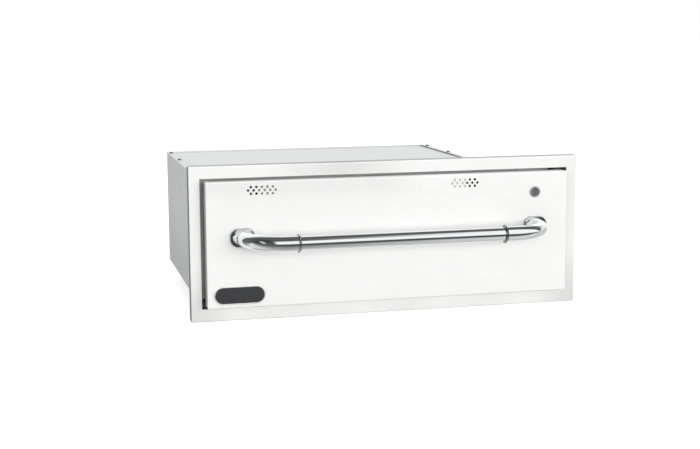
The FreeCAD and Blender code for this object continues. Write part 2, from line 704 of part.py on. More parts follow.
def heating_element():
    spots = [V(x, y, ELEMENT_Z) for x, y in element_points()]
    edges = [Part.makeLine(spots[0], spots[1]),
             half_turn(ELEMENT_LEFT_X, ELEMENT_FRONT_Y, ELEMENT_BACK_Y, LEFT),
             Part.makeLine(spots[2], spots[3]),
             half_turn(ELEMENT_RIGHT_X, ELEMENT_BACK_Y, ELEMENT_INNER_Y, RIGHT),
             Part.makeLine(spots[4], spots[5]),
             half_turn(ELEMENT_TURN_X, ELEMENT_INNER_Y, ELEMENT_RETURN_Y, LEFT),
             Part.makeLine(spots[6], spots[7])]
    section = Part.Wire(Part.makeCircle(ELEMENT_R, spots[0], V(-1, 0, 0)))
    sheath = Part.Wire(edges).makePipeShell([section], True, False)
    pins = [rod(PIN_R, spot.sub(V(1, 0, 0)), spot.add(V(PIN_LENGTH, 0, 0)))
            for spot in (spots[0], spots[7])]
    return joined([sheath] + pins)


def element_bushings():
    """Ceramic sleeves that carry the element's ends through the cavity wall."""
    bore = ELEMENT_R + SEAT
    length = BODY_RIGHT + BUSHING_PAST - CAVITY_X[1]
    outline = [(bore, -BUSHING_FLANGE_T), (BUSHING_FLANGE_R, -BUSHING_FLANGE_T), (BUSHING_FLANGE_R, 0),
               (BUSHING_R, 0), (BUSHING_R, length), (bore, length)]
    sleeve = turned_profile(outline)
    return [place(sleeve, V(CAVITY_X[1], y, ELEMENT_Z), V(1, 0, 0))
            for y in (ELEMENT_FRONT_Y, ELEMENT_RETURN_Y)]


def element_brackets():
    """Posts on the cavity floor that hold the element."""
    left, right = ELEMENT_LEFT_X + CLIP_INSET, ELEMENT_RIGHT_X - CLIP_INSET
    spots = [(left, ELEMENT_FRONT_Y), (right, ELEMENT_FRONT_Y),
             (left, ELEMENT_BACK_Y), (right, ELEMENT_BACK_Y),
             ((left + right) / 2, ELEMENT_INNER_Y), ((left + right) / 2, ELEMENT_RETURN_Y)]
    posts = []
    for x, y in spots:
        across = (x - CLIP_W / 2, x + CLIP_W / 2)
        post = box(across, (y - CLIP_D / 2, y + CLIP_D / 2), (CAVITY_Z[0], ELEMENT_Z + CLIP_ABOVE))
        hole = rod(ELEMENT_R + SEAT, V(across[0] - 1, y, ELEMENT_Z), V(across[1] + 1, y, ELEMENT_Z))
        posts.append(post.cut(hole))
    return posts


# ---------------------------------------------------------------- telescopic slides

def slide_wall(side):
    return CAVITY_X[0] if side == LEFT else CAVITY_X[1]


def across_slide(side, near, far):
    """The x span between two distances from the cavity wall."""
    wall = slide_wall(side)
    return ordered(wall - side * near, wall - side * far)


def channel(side, web, flange_end, half_h, lip, y):
    """A C-shaped slide member; its web is the (near, far) pair from the cavity wall."""
    web_x = across_slide(side, web[0], web[1])
    flange_x = across_slide(side, web[0], flange_end)
    parts = [box(web_x, y, (SLIDE_Z - half_h, SLIDE_Z + half_h))]
    for top in (-1, 1):
        flange_z = ordered(SLIDE_Z + top * half_h, SLIDE_Z + top * (half_h - SLIDE_SHEET))
        parts.append(box(flange_x, y, flange_z))
        if lip:
            lip_x = across_slide(side, flange_end - SLIDE_LIP_T, flange_end)
            lip_z = ordered(SLIDE_Z + top * half_h, SLIDE_Z + top * (half_h - SLIDE_SHEET - lip))
            parts.append(box(lip_x, y, lip_z))
    return joined(parts)


def slide_outer(side):
    y = (SLIDE_START, SLIDE_START + SLIDE_LENGTH)
    member = channel(side, (0, SLIDE_SHEET), OUTER_FLANGE, SLIDE_HALF_H, SLIDE_LIP, y)
    return member.cut(rivet_holes(slide_wall(side) - side * 2, side, RIVET_R + SEAT, 3))


def slide_middle(side):
    y = (SLIDE_START, SLIDE_START + SLIDE_TRAVEL)
    return channel(side, (MIDDLE_WEB, MIDDLE_WEB + SLIDE_SHEET), MIDDLE_FLANGE, MIDDLE_HALF_H, SLIDE_LIP, y)


def slide_inner(side):
    y = (SLIDE_START, SLIDE_START + SLIDE_TRAVEL)
    web = (SLIDE_SPACE, SLIDE_SPACE - SLIDE_SHEET)
    member = channel(side, web, INNER_FLANGE, INNER_HALF_H, 0, y)
    return member.cut(rivet_holes(slide_wall(side) - side * (SLIDE_SPACE + 1), side, RIVET_R + SEAT, 3))


def ball_cages(offset, race_z):
    """Both sides' ball strips of one race: offset from the wall, race_z from the centre."""
    start = SLIDE_START + SLIDE_TRAVEL / 4 + RUN
    length = SLIDE_TRAVEL / 2 - 2 * RUN
    count = int(length // BALL_PITCH)
    first = start + (length - BALL_PITCH * (count - 1)) / 2
    solids = []
    for side in (LEFT, RIGHT):
        x = slide_wall(side) - side * offset
        for top in (-1, 1):
            z = SLIDE_Z + top * race_z
            strip = box(grow((x, x), CAGE_W / 2), (start, start + length), grow((z, z), CAGE_T / 2))
            spots = [V(x, first + BALL_PITCH * n, z) for n in range(count)]
            through = V(0, 0, CAGE_T)
            holes = [rod(CAGE_HOLE_R, spot.sub(through), spot.add(through)) for spot in spots]
            solids.append(strip.cut(holes))
            solids += [Part.makeSphere(BALL_R, spot) for spot in spots]
    return solids


def rivets(plane, outward, grip):
    """Rivets whose flush ends lie at a plane and whose heads are past the grip."""
    outline = [(0, 0), (RIVET_R, 0), (RIVET_R, grip), (RIVET_HEAD_R, grip),
               (RIVET_HEAD_R * 0.8, grip + RIVET_HEAD_T), (0, grip + RIVET_HEAD_T)]
    part = turned_profile(outline)
    return [place(part, V(plane, y, z), V(outward, 0, 0)) for y, z in rivet_spots()]


def chassis_rivets():
    grip = SLIDE_SHEET + THIN
    left = rivets(CAVITY_X[0] + SLIDE_SHEET, LEFT, grip)
    return left + rivets(CAVITY_X[1] - SLIDE_SHEET, RIGHT, grip)


def tub_rivets():
    grip = SLIDE_SHEET + THIN
    left = rivets(TUB_X[0] - SLIDE_SHEET, RIGHT, grip)
    return left + rivets(TUB_X[1] + SLIDE_SHEET, LEFT, grip)


# ---------------------------------------------------------------- drawer front

def vent_spots(centre):
    """A staggered cluster of holes, five, six and five in a row."""
    spots = []
    for row, count in ((-1, 5), (0, 6), (1, 5)):
        for n in range(count):
            spots.append((centre + VENT_PITCH * (n - (count - 1) / 2), VENT_Z + row * VENT_ROW))
    return spots


def handle_bolt_holes(radius, y):
    return [rod(radius, V(side * HANDLE_X, y[0], HANDLE_Z), V(side * HANDLE_X, y[1], HANDLE_Z))
            for side in (LEFT, RIGHT)]


def drawer_front():
    pan = tray(FRONT_X, (DRAWER_FACE, FRONT_BACK), FRONT_Z, SHEET, FRONT_CORNER_R, FRONT_EDGE_R)
    through = (DRAWER_FACE - 1, FRONT_INSIDE + 1)
    holes = [rod(VENT_HOLE_R, V(x, through[0], z), V(x, through[1], z))
             for x, z in vent_spots(VENT_LEFT_X) + vent_spots(VENT_RIGHT_X)]
    holes.append(rod(LAMP_TUBE_R + SEAT, V(LAMP_X, through[0], LAMP_Z), V(LAMP_X, through[1], LAMP_Z)))
    holes += handle_bolt_holes(BOLT_R + SEAT, through)
    return pan.cut(holes)


def plug_spans():
    """The x and z spans of the plug that closes the cavity mouth."""
    by = GASKET_MARGIN + GASKET_W + PLUG_MARGIN
    return grow(CAVITY_X, by), grow(CAVITY_Z, by)


def shutter_span(side):
    """The x span of one shutter at rest."""
    if side == LEFT:
        low = VENT_LEFT_X - SHUTTER_W / 2 + SHUTTER_LEFT_SHIFT
        return (low, low + SHUTTER_W)
    high = VENT_RIGHT_X + SHUTTER_W / 2 - SHUTTER_RIGHT_SHIFT
    return (high - SHUTTER_W, high)


def shutter_travel_span(side):
    """All the x that one shutter sweeps, from closed to fully open."""
    if side == LEFT:
        low = VENT_LEFT_X - SHUTTER_W / 2
        return (low, low + 2 * SHUTTER_W)
    high = VENT_RIGHT_X + SHUTTER_W / 2
    return (high - 2 * SHUTTER_W, high)


def duct_span(side):
    """The x span of the air duct behind one cluster: as wide as the holes and the tab's sweep."""
    centre = VENT_LEFT_X if side == LEFT else VENT_RIGHT_X
    holes = grow((centre, centre), VENT_PITCH * 5 / 2 + VENT_HOLE_R)
    tab = tab_sweep(side, 0)
    return grow((min(holes[0], tab[0]), max(holes[1], tab[1])), DUCT_MARGIN)


def tab_sweep(side, margin):
    """The x span that one shutter's tab sweeps."""
    span = shutter_travel_span(side)
    return grow((span[0] + SHUTTER_W / 2 - TAB_W / 2, span[1] - SHUTTER_W / 2 + TAB_W / 2), margin)


def front_liner():
    """The front's inner skin: a rim that closes the pan and a plug for the cavity mouth."""
    rim_y = (FRONT_BACK - THIN, FRONT_BACK)
    rim = box(grow(FRONT_X, -SHEET - SEAT), rim_y, grow(FRONT_Z, -SHEET - SEAT))
    rim = rounded(rim, FRONT_CORNER_R - SHEET, runs_along_y)
    plug_x, plug_z = plug_spans()
    plug_y = (FRONT_BACK - THIN, PLUG_BACK)
    plug = facing_back(tray(plug_x, plug_y, plug_z, THIN, PLUG_EDGE_R, PLUG_EDGE_R), plug_y)
    window = box(grow(plug_x, -PLUG_EDGE_R), grow(rim_y, 1), grow(plug_z, -PLUG_EDGE_R))
    skin = joined([rim.cut(window), plug])
    slots = [box(tab_sweep(side, 2), (PLUG_BACK - 5, PLUG_BACK + 1), grow(TAB_Z, 1.5))
             for side in (LEFT, RIGHT)]
    sight = rod(LAMP_BORE_R + 0.6, V(LAMP_X, rim_y[0] - 1, LAMP_Z), V(LAMP_X, rim_y[1] + 1, LAMP_Z))
    clear = box(grow(plug_x, -THIN), (rim_y[0] - 1, FRONT_BACK + 2), grow(plug_z, -THIN))
    return skin.cut(slots + [sight, clear])


def front_insulation():
    """The slab inside the drawer front, pocketed round the handle, vents and sight ring."""
    rim_front = FRONT_BACK - THIN
    slab = soft_block(grow(FRONT_X, -SHEET - RUN), (FRONT_INSIDE, rim_front), grow(FRONT_Z, -SHEET - RUN),
                      FRONT_CORNER_R - SHEET, FRONT_EDGE_R - SHEET, FRONT_INSIDE)
    plug_x, plug_z = plug_spans()
    inset = PLUG_EDGE_R + RUN
    core = box(grow(plug_x, -inset), (rim_front - 1, PLUG_BACK - THIN), grow(plug_z, -inset))
    pockets = [rod(LAMP_TUBE_R + 1, V(LAMP_X, FRONT_INSIDE - 1, LAMP_Z), V(LAMP_X, rim_front + 1, LAMP_Z))]
    for side in (LEFT, RIGHT):
        centre = side * HANDLE_X
        backing = grow((centre, centre), BACKING_W / 2 + 1)
        depth = (FRONT_INSIDE - 1, FRONT_INSIDE + BACKING_T + BOLT_HEAD_H + 1)
        pockets.append(box(backing, depth, grow((HANDLE_Z, HANDLE_Z), BACKING_H / 2 + 1)))
        sweep = grow(shutter_travel_span(side), SHUTTER_END + 1)
        pockets.append(box(sweep, (FRONT_INSIDE - 1, FRONT_INSIDE + DUCT_START), grow(SHUTTER_Z, GUIDE_H)))
        duct_z = (TAB_Z[0] - DUCT_MARGIN, SHUTTER_Z[1])
        pockets.append(box(duct_span(side), (FRONT_INSIDE - 1, PLUG_BACK), duct_z))
    return joined([slab, core]).cut(pockets)


def front_gasket():
    inner_x, inner_z = grow(CAVITY_X, GASKET_MARGIN), grow(CAVITY_Z, GASKET_MARGIN)
    outer_x, outer_z = grow(inner_x, GASKET_W), grow(inner_z, GASKET_W)
    y = (PLUG_BACK, PLUG_BACK + GASKET_T)
    outside = soft_block(outer_x, y, outer_z, GASKET_CORNER_R, GASKET_ROUND, y[1])
    inside = rounded(box(inner_x, grow(y, 1), inner_z), GASKET_HOLE_R, runs_along_y)
    return outside.cut(inside)


def shutter_guides():
    """Channels behind the front sheet that the shutters slide in."""
    front_lip = (FRONT_INSIDE, FRONT_INSIDE + THIN)
    slot_end = front_lip[1] + THIN + 2 * RUN
    back_lip = (slot_end, slot_end + THIN)
    rails = []
    for side in (LEFT, RIGHT):
        x = grow(shutter_travel_span(side), SHUTTER_END)
        low, high = SHUTTER_Z
        for edge, away in ((low, -1), (high, 1)):
            web = ordered(edge + away * RUN, edge + away * GUIDE_H)
            lips = ordered(edge - away * GUIDE_LAP, edge + away * GUIDE_H)
            rails.append(joined([box(x, (front_lip[0], back_lip[1]), web), box(x, front_lip, lips),
                                 box(x, back_lip, lips)]))
    return rails


def vent_shutter(side):
    """A plain sliding plate with a finger tab that reaches back through the liner."""
    x = shutter_span(side)
    face = FRONT_INSIDE + THIN + RUN
    y = (face, face + THIN)
    plate = box(x, y, SHUTTER_Z)
    centre = middle(x)
    tab = box((centre - TAB_W / 2, centre + TAB_W / 2), (y[1] - 0.5, PLUG_BACK + TAB_PAST), TAB_Z)
    return joined([plate, tab])


# ---------------------------------------------------------------- handle

def handle_base(side):
    """The oval foot plate under one end of the handle."""
    y = (DRAWER_FACE - BASE_T, DRAWER_FACE)
    plate = rounded_prism(side * HANDLE_X, HANDLE_Z, BASE_W, BASE_H, BASE_CORNER_R, y)
    plate = rounded(plate, BASE_EDGE_R, lambda edge: lies_at_y(edge, y[0]))
    hole = rod(BOLT_R + SEAT, V(side * HANDLE_X, y[0] - 1, HANDLE_Z), V(side * HANDLE_X, y[1] + 1, HANDLE_Z))
    return plate.cut(hole)


def oval(x, y, width, height):
    """An ellipse in the XZ plane, as a wire."""
    centre = V(x, y, HANDLE_Z)
    if abs(width - height) < 1e-6:
        return Part.Wire(Part.makeCircle(width / 2, centre, V(0, 1, 0)))
    major = centre.add(V(width / 2, 0, 0))
    minor = centre.add(V(0, 0, height / 2))
    return Part.Wire(Part.Ellipse(major, minor, centre).toShape())


def arm_end(side):
    """Where an elbow ends along the tube."""
    return side * (BEND_X - (ARM_LEFT if side == LEFT else ARM_RIGHT))


def handle_elbow(side):
    """A cast corner: an oval stem that turns into the round tube along the front."""
    foot_y = DRAWER_FACE - BASE_T
    stem = Part.makeLoft([oval(side * HANDLE_X, foot_y, STEM_W, STEM_H),
                          oval(side * HANDLE_X, BEND_Y, 2 * ELBOW_R, 2 * ELBOW_R)], True, False)
    section = Part.Face(oval(side * HANDLE_X, BEND_Y, 2 * ELBOW_R, 2 * ELBOW_R))
    bend = section.revolve(V(side * BEND_X, BEND_Y, HANDLE_Z), V(0, 0, 1), -90 * side)
    arm = rod(ELBOW_R, V(side * BEND_X, BAR_Y, HANDLE_Z), V(arm_end(side), BAR_Y, HANDLE_Z))
    elbow = joined([stem, bend, arm])
    socket = rod(BAR_R + SEAT, V(arm_end(side) - side, BAR_Y, HANDLE_Z), V(side * BEND_X, BAR_Y, HANDLE_Z))
    thread = rod(BOLT_R + SEAT, V(side * HANDLE_X, foot_y + 1, HANDLE_Z),
                 V(side * HANDLE_X, foot_y - BOLT_GRIP - 1, HANDLE_Z))
    return elbow.cut([socket, thread])


def handle_collar(side):
    """A flared ring at the elbow's end; both rings are widest at their left."""
    bore = BAR_R + SEAT
    outline = [(bore, 0), (COLLAR_R - 0.6, 0), (COLLAR_R, 0.6), (COLLAR_R - 0.1, 1.2),
               (COLLAR_R - 0.9, 2.0), (COLLAR_NECK_R + 0.5, 3.0), (COLLAR_NECK_R, 3.6),
               (COLLAR_NECK_R, COLLAR_W), (bore, COLLAR_W)]
    left_end = arm_end(side) - (COLLAR_W if side == RIGHT else 0)
    return place(turned_profile(outline), V(left_end, BAR_Y, HANDLE_Z), V(1, 0, 0))


def handle_bar():
    """The straight tube, held in the elbows' sockets."""
    reach = BEND_X - RUN
    start, end = V(-reach, BAR_Y, HANDLE_Z), V(reach, BAR_Y, HANDLE_Z)
    return rod(BAR_R, start, end).cut(rod(BAR_R - BAR_WALL, start, end))


def handle_bolts():
    """Bolts from inside the front into the elbows."""
    head_y = FRONT_INSIDE + BACKING_T
    tip = DRAWER_FACE - BASE_T - BOLT_GRIP
    bolts = []
    for side in (LEFT, RIGHT):
        x = side * HANDLE_X
        head = rod(BOLT_HEAD_R, V(x, head_y, HANDLE_Z), V(x, head_y + BOLT_HEAD_H, HANDLE_Z))
        bolts.append(joined([head, rod(BOLT_R, V(x, tip, HANDLE_Z), V(x, head_y + 1, HANDLE_Z))]))
    return bolts


def handle_backing_plates():
    y = (FRONT_INSIDE, FRONT_INSIDE + BACKING_T)
    holes = handle_bolt_holes(BOLT_R + SEAT, grow(y, 1))
    return [rounded_prism(side * HANDLE_X, HANDLE_Z, BACKING_W, BACKING_H, BACKING_CORNER_R, y).cut(holes)
            for side in (LEFT, RIGHT)]


# ---------------------------------------------------------------- badge and sight ring

def badge_rim():
    y = (DRAWER_FACE - BADGE_RIM_T, DRAWER_FACE)
    outside = rounded_prism(BADGE_X, BADGE_Z, BADGE_W, BADGE_H, BADGE_H / 2, y)
    inner_w, inner_h = BADGE_W - 2 * BADGE_RIM, BADGE_H - 2 * BADGE_RIM
    inside = rounded_prism(BADGE_X, BADGE_Z, inner_w, inner_h, inner_h / 2, grow(y, 1))
    return rounded(outside.cut(inside), BADGE_EDGE_R, lambda edge: lies_at_y(edge, y[0]))


def badge_plate():
    """The bare dark field inside the rim."""
    inner_w = BADGE_W - 2 * BADGE_RIM - 2 * SEAT
    inner_h = BADGE_H - 2 * BADGE_RIM - 2 * SEAT
    y = (DRAWER_FACE - BADGE_PLATE_T, DRAWER_FACE)
    return rounded_prism(BADGE_X, BADGE_Z, inner_w, inner_h, inner_h / 2, y)


def sight_ring():
    """A domed ring with a conical mouth, and a tube that carries the sight glass."""
    tube_end = FRONT_DEPTH - THIN - RUN
    crown, half = middle((LAMP_MOUTH_R, LAMP_RING_R)), (LAMP_RING_R - LAMP_MOUTH_R) / 2
    dome = [(crown + half * math.cos(math.radians(angle)), LAMP_RING_PROUD * math.sin(math.radians(angle)))
            for angle in range(0, 181, 15)]
    outline = dome + [(LAMP_BORE_R, -LAMP_CONE_DEPTH), (LAMP_BORE_R, -tube_end),
                      (LAMP_TUBE_R, -tube_end), (LAMP_TUBE_R, 0)]
    return place(turned_profile(outline), V(LAMP_X, DRAWER_FACE, LAMP_Z), V(0, -1, 0))


def sight_glass():
    """A clear rod that shows the pilot lamp at the drawer's face."""
    start = DRAWER_FACE + LAMP_CONE_DEPTH + RUN
    return rod(LAMP_BORE_R - SEAT, V(LAMP_X, start, LAMP_Z), V(LAMP_X, FRONT_BACK + 1, LAMP_Z))


# ---------------------------------------------------------------- tub, pan and rack

def drawer_tub():
    """A folded tub with a window in its floor over the element."""
    outside = box(TUB_X, TUB_Y, TUB_Z)
    flange_y = (TUB_Y[0], TUB_Y[1] + TUB_FLANGE)
    flange = box(grow(TUB_X, TUB_FLANGE), flange_y, (TUB_Z[1] - THIN, TUB_Z[1]))
    inside = box(grow(TUB_X, -THIN), grow(TUB_Y, -THIN), (TUB_Z[0] + THIN, TUB_Z[1] + 1))
    window = box(grow(TUB_X, -TUB_LEDGE), grow(TUB_Y, -TUB_LEDGE), (TUB_Z[0] - 1, TUB_Z[0] + THIN + 1))
    holes = rivet_holes(TUB_X[0] - 0.5, RIGHT, RIVET_R + SEAT, THIN + 1)
    holes += rivet_holes(TUB_X[1] + 0.5, LEFT, RIVET_R + SEAT, THIN + 1)
    return joined([outside, flange]).cut([inside, window] + holes)


def pan_spans():
    """The outside of the food pan's walls."""
    x = grow(TUB_X, PAN_SEAT - PAN_RIM)
    y = (TUB_Y[0] + RUN + PAN_RIM, TUB_Y[1] + PAN_SEAT - PAN_RIM)
    return x, y, (TUB_Z[0] + THIN + PAN_FLOOR_GAP, TUB_Z[1] + PAN_SHEET)


def pan_block(x, y, z, corner, foot):
    """A block with rounded uprights and a rounded foot."""
    block = box(x, y, z)

    def upright(edge):
        bounds = edge.BoundBox
        return bounds.XLength < 1e-6 and bounds.YLength < 1e-6

    block = rounded(block, corner, upright)
    return rounded(block, foot, lambda edge: edge.BoundBox.ZMax < z[0] + 1e-6)


def food_pan():
    x, y, z = pan_spans()
    outside = pan_block(x, y, z, PAN_CORNER_R, PAN_FOOT_R)
    inside = pan_block(grow(x, -PAN_SHEET), grow(y, -PAN_SHEET), (z[0] + PAN_SHEET, z[1] + 1),
                       PAN_CORNER_R - PAN_SHEET, PAN_FOOT_R - PAN_SHEET)
    rim_block = box(grow(x, PAN_RIM), grow(y, PAN_RIM), (TUB_Z[1], z[1]))
    rim = rounded(rim_block, PAN_CORNER_R, lambda edge: edge.BoundBox.XLength + edge.BoundBox.YLength < 1e-6)
    return joined([outside, rim]).cut(inside)


def wire_rack():
    """A welded wire rack on the pan's floor."""
    x, y, z = pan_spans()
    x, y = grow(x, -RACK_GAP), grow(y, -RACK_GAP)
    frame_z = z[0] + PAN_SHEET + RACK_FRAME_R
    corners = [V(x[0], middle(y), frame_z), V(x[0], y[0], frame_z), V(x[1], y[0], frame_z),
               V(x[1], y[1], frame_z), V(x[0], y[1], frame_z), V(x[0], middle(y), frame_z)]
    frame = bent_tube(RACK_FRAME_R, corners, RACK_CORNER_R)
    wire_z = frame_z + RACK_FRAME_R + RACK_WIRE_R - RACK_WELD
    count = int((x[1] - x[0] - 2 * RACK_PITCH) // RACK_PITCH)
    first = middle(x) - RACK_PITCH * count / 2
    wires = []
    for n in range(count + 1):
        spot = first + RACK_PITCH * n
        wires.append(rod(RACK_WIRE_R, V(spot, y[0] - 1, wire_z), V(spot, y[1] + 1, wire_z)))
    return joined([frame] + wires)


# ---------------------------------------------------------------- control compartment

def control_box():
    """The compartment's top, bottom and back, with flanges for its cover."""
    x = (BODY_RIGHT, BOX_RIGHT - SHEET)
    z = BOX_Z
    outside = box(x, (PLATE_BACK, BOX_BACK), z)
    inside = box(grow(x, 1), (PLATE_BACK - 1, BOX_BACK - SHEET), grow(z, -SHEET))
    shell = outside.cut(inside)
    flanges = []
    for edge, inward in ((z[0], 1), (z[1], -1)):
        span = ordered(edge, edge + inward * BOX_FLANGE)
        flanges.append(box((x[1] - SHEET, x[1]), (PLATE_BACK, BOX_BACK), span))
    gland_hole = rod(GLAND_THREAD_R + SEAT, V(GLAND_X, BOX_BACK - SHEET - 1, GLAND_Z),
                     V(GLAND_X, BOX_BACK + 1, GLAND_Z))
    return joined([shell] + flanges).cut([gland_hole] + cover_screw_holes())


def cover_screw_places():
    places = []
    for z in grow(BOX_Z, -COVER_SCREW_EDGE):
        for y in (PLATE_BACK + COVER_SCREW_INSET, BOX_BACK - COVER_SCREW_INSET):
            places.append(V(BOX_RIGHT, y, z))
    return places


def cover_screw_holes():
    return [rod(COVER_SCREW_R + SEAT, p.sub(V(COVER_SCREW_LENGTH, 0, 0)), p.add(V(1, 0, 0)))
            for p in cover_screw_places()]


def control_box_cover():
    plate = box((BOX_RIGHT - SHEET, BOX_RIGHT), (PLATE_BACK, BOX_BACK), BOX_Z)
    return plate.cut(cover_screw_holes())


def cover_screws():
    part = screw(COVER_SCREW_HEAD_R, COVER_SCREW_HEAD_H, COVER_SCREW_R, COVER_SCREW_LENGTH)
    return [place(part, spot, V(1, 0, 0)) for spot in cover_screw_places()]


def thermostat():
    """The control behind the face plate, with the bush that carries the knob's shaft."""
    x = grow((KNOB_X, KNOB_X), THERMOSTAT_W / 2)
    z = grow((KNOB_Z, KNOB_Z), THERMOSTAT_H / 2)
    body = box(x, (PLATE_BACK, PLATE_BACK + THERMOSTAT_D), z)
    bush = rod(STEM_BUSH_R, V(KNOB_X, PLATE_FACE, KNOB_Z), V(KNOB_X, PLATE_BACK + 1, KNOB_Z))
    bore = rod(SHAFT_R + SHAFT_CLEAR, V(KNOB_X, PLATE_FACE - 1, KNOB_Z),
               V(KNOB_X, PLATE_BACK + SHAFT_IN_BODY + RUN, KNOB_Z))
    return joined([body, bush]).cut(bore)


def dial_plate():
    """A thin printed disc on the face plate round the knob."""
    centre = V(KNOB_X, PLATE_FACE, KNOB_Z)
    disc = rod(DIAL_R, centre, centre.sub(V(0, DIAL_T, 0)))
    return disc.cut(rod(STEM_BUSH_R + SEAT, centre.add(V(0, 1, 0)), centre.sub(V(0, DIAL_T + 1, 0))))


def thermostat_shaft():
    start = KNOB_BACK - SHAFT_IN_KNOB
    return rod(SHAFT_R, V(KNOB_X, start, KNOB_Z), V(KNOB_X, PLATE_BACK + SHAFT_IN_BODY, KNOB_Z))


def thermostat_knob():
    """A skirted knob with a raised grip bar and a bored boss."""
    outline = [(0, 0), (KNOB_SKIRT_R, 0), (KNOB_SKIRT_R, KNOB_SKIRT_T - KNOB_CHAMFER),
               (KNOB_R, KNOB_SKIRT_T), (KNOB_R - KNOB_CHAMFER, KNOB_BODY_T), (0, KNOB_BODY_T)]
    knob = place(turned_profile(outline), V(KNOB_X, KNOB_BACK, KNOB_Z), V(0, -1, 0))
    front = KNOB_BACK - KNOB_DEPTH
    grip_h = 2 * (KNOB_R - KNOB_CHAMFER)
    grip = rounded_prism(KNOB_X, KNOB_Z, GRIP_W, grip_h, GRIP_END_R, (front, KNOB_BACK - KNOB_SKIRT_T))
    grip = rounded(grip, KNOB_CHAMFER, lambda edge: lies_at_y(edge, front))
    bore = rod(SHAFT_R + SEAT, V(KNOB_X, KNOB_BACK + 1, KNOB_Z),
               V(KNOB_X, KNOB_BACK - SHAFT_IN_KNOB - RUN, KNOB_Z))
    return joined([knob, grip]).cut(bore)


def thermostat_bulb():
    """The sensing bulb on the cavity wall and its fine tube to the back of the control."""
    bulb = rod(BULB_R, V(BULB_X, BULB_Y, BULB_Z), V(BULB_X, BULB_Y + BULB_LENGTH, BULB_Z))
    control_x = KNOB_X - THERMOSTAT_W / 4
    turn_x = BODY_RIGHT + CAPILLARY_PAST
    points = [V(BULB_X, BULB_Y, BULB_Z), V(BULB_X, CAPILLARY_Y, BULB_Z), V(turn_x, CAPILLARY_Y, BULB_Z),
              V(turn_x, CAPILLARY_Y, KNOB_Z), V(control_x, CAPILLARY_Y, KNOB_Z),
              V(control_x, THERMOSTAT_BACK, KNOB_Z)]
    return joined([bulb, bent_tube(CAPILLARY_R, points, CAPILLARY_BEND)])


def limit_switch():
    """A disc cut-out screwed to the outside of the cavity wall's panel."""
    centre = V(BODY_RIGHT, LIMIT_Y, LIMIT_Z)
    disc = rod(LIMIT_R, centre, centre.add(V(LIMIT_T, 0, 0)))
    ears = box((BODY_RIGHT, BODY_RIGHT + LIMIT_EAR_T), grow((LIMIT_Y, LIMIT_Y), LIMIT_EAR_W / 2),
               grow((LIMIT_Z, LIMIT_Z), LIMIT_EAR_H / 2))
    tab_x = (BODY_RIGHT + LIMIT_T - 1, BODY_RIGHT + LIMIT_T + LIMIT_TAB_L)
    tabs = []
    for y in (LIMIT_Y - LIMIT_TAB_SPACE, LIMIT_Y + LIMIT_TAB_SPACE):
        tabs.append(box(tab_x, grow((y, y), LIMIT_TAB_T / 2), grow((LIMIT_Z, LIMIT_Z), LIMIT_TAB_W / 2)))
    return joined([disc, ears] + tabs)


def terminal_block():
    """A ceramic block with a row of screw ways."""
    x = (BLOCK_X, BLOCK_X + BLOCK_W)
    y = (BLOCK_Y, BLOCK_Y + BLOCK_D)
    block = box(x, y, (BLOCK_FLOOR, BLOCK_TOP))
    wells = []
    for way in range(BLOCK_WAYS):
        centre = x[0] + BLOCK_W * (way + 0.5) / BLOCK_WAYS
        wells.append(rod(BLOCK_WELL_R, V(centre, middle(y), BLOCK_TOP - BLOCK_WELL_DEPTH),
                         V(centre, middle(y), BLOCK_TOP + 1)))
    return block.cut(wells)


def hexagon(thickness):
    """A hexagonal plate standing on z = 0."""
    corners = []
    for n in range(7):
        turn = math.radians(60 * n)
        corners.append(V(GLAND_HEX_R * math.cos(turn), GLAND_HEX_R * math.sin(turn), 0))
    return Part.Face(Part.makePolygon(corners)).extrude(V(0, 0, thickness))


def cable_gland():
    """The cord inlet: a threaded body, a hexagon and a domed cap, bored right through."""
    inside_end = -SHEET - GLAND_INSIDE
    cap_end = GLAND_HEX_T + GLAND_CAP_L
    outline = [(0, inside_end), (GLAND_THREAD_R, inside_end), (GLAND_THREAD_R, GLAND_HEX_T),
               (GLAND_CAP_R, GLAND_HEX_T), (GLAND_CAP_R, cap_end - GLAND_MOUTH),
               (GLAND_CAP_R - GLAND_MOUTH, cap_end), (0, cap_end)]
    body = joined([turned_profile(outline), hexagon(GLAND_HEX_T)])
    bore = rod(GLAND_BORE_R, V(0, 0, inside_end - 1), V(0, 0, cap_end + 1))
    return place(body.cut(bore), V(GLAND_X, BOX_BACK, GLAND_Z), V(0, 1, 0))


def gland_locknut():
    nut = hexagon(LOCKNUT_T).cut(rod(GLAND_THREAD_R + SEAT, V(0, 0, -1), V(0, 0, LOCKNUT_T + 1)))
    return place(nut, V(GLAND_X, BOX_BACK - SHEET, GLAND_Z), V(0, -1, 0))


def pilot_lamp():
    """The lamp's housing through the face plate."""
    outline = [(PILOT_LENS_R + SEAT, LAMP_FLANGE_T), (LAMP_FLANGE_R, LAMP_FLANGE_T), (LAMP_FLANGE_R, 0),
               (LAMP_HOUSING_R, 0), (LAMP_HOUSING_R, -LAMP_HOUSING_L), (0, -LAMP_HOUSING_L), (0, 0),
               (PILOT_LENS_R + SEAT, 0)]
    return place(turned_profile(outline), V(LAMP_X, PLATE_FACE, LAMP_Z), V(0, -1, 0))


def pilot_lens():
    """A domed red lens seated in the housing."""
    lens = screw(PILOT_LENS_R, PILOT_LENS_R * 0.9, PILOT_LENS_R * 0.99, PILOT_LENS_L - PILOT_LENS_R * 0.9)
    return place(lens, V(LAMP_X, PLATE_FACE - (PILOT_LENS_L - PILOT_LENS_R * 0.9), LAMP_Z), V(0, -1, 0))


def block_entry(way, row):
    """Where a lead enters the block: way counted from the left, row 1 in front and 3 behind."""
    return V(BLOCK_X + BLOCK_W * (way + 0.5) / BLOCK_WAYS, BLOCK_Y + BLOCK_D * row / 4, BLOCK_TOP)


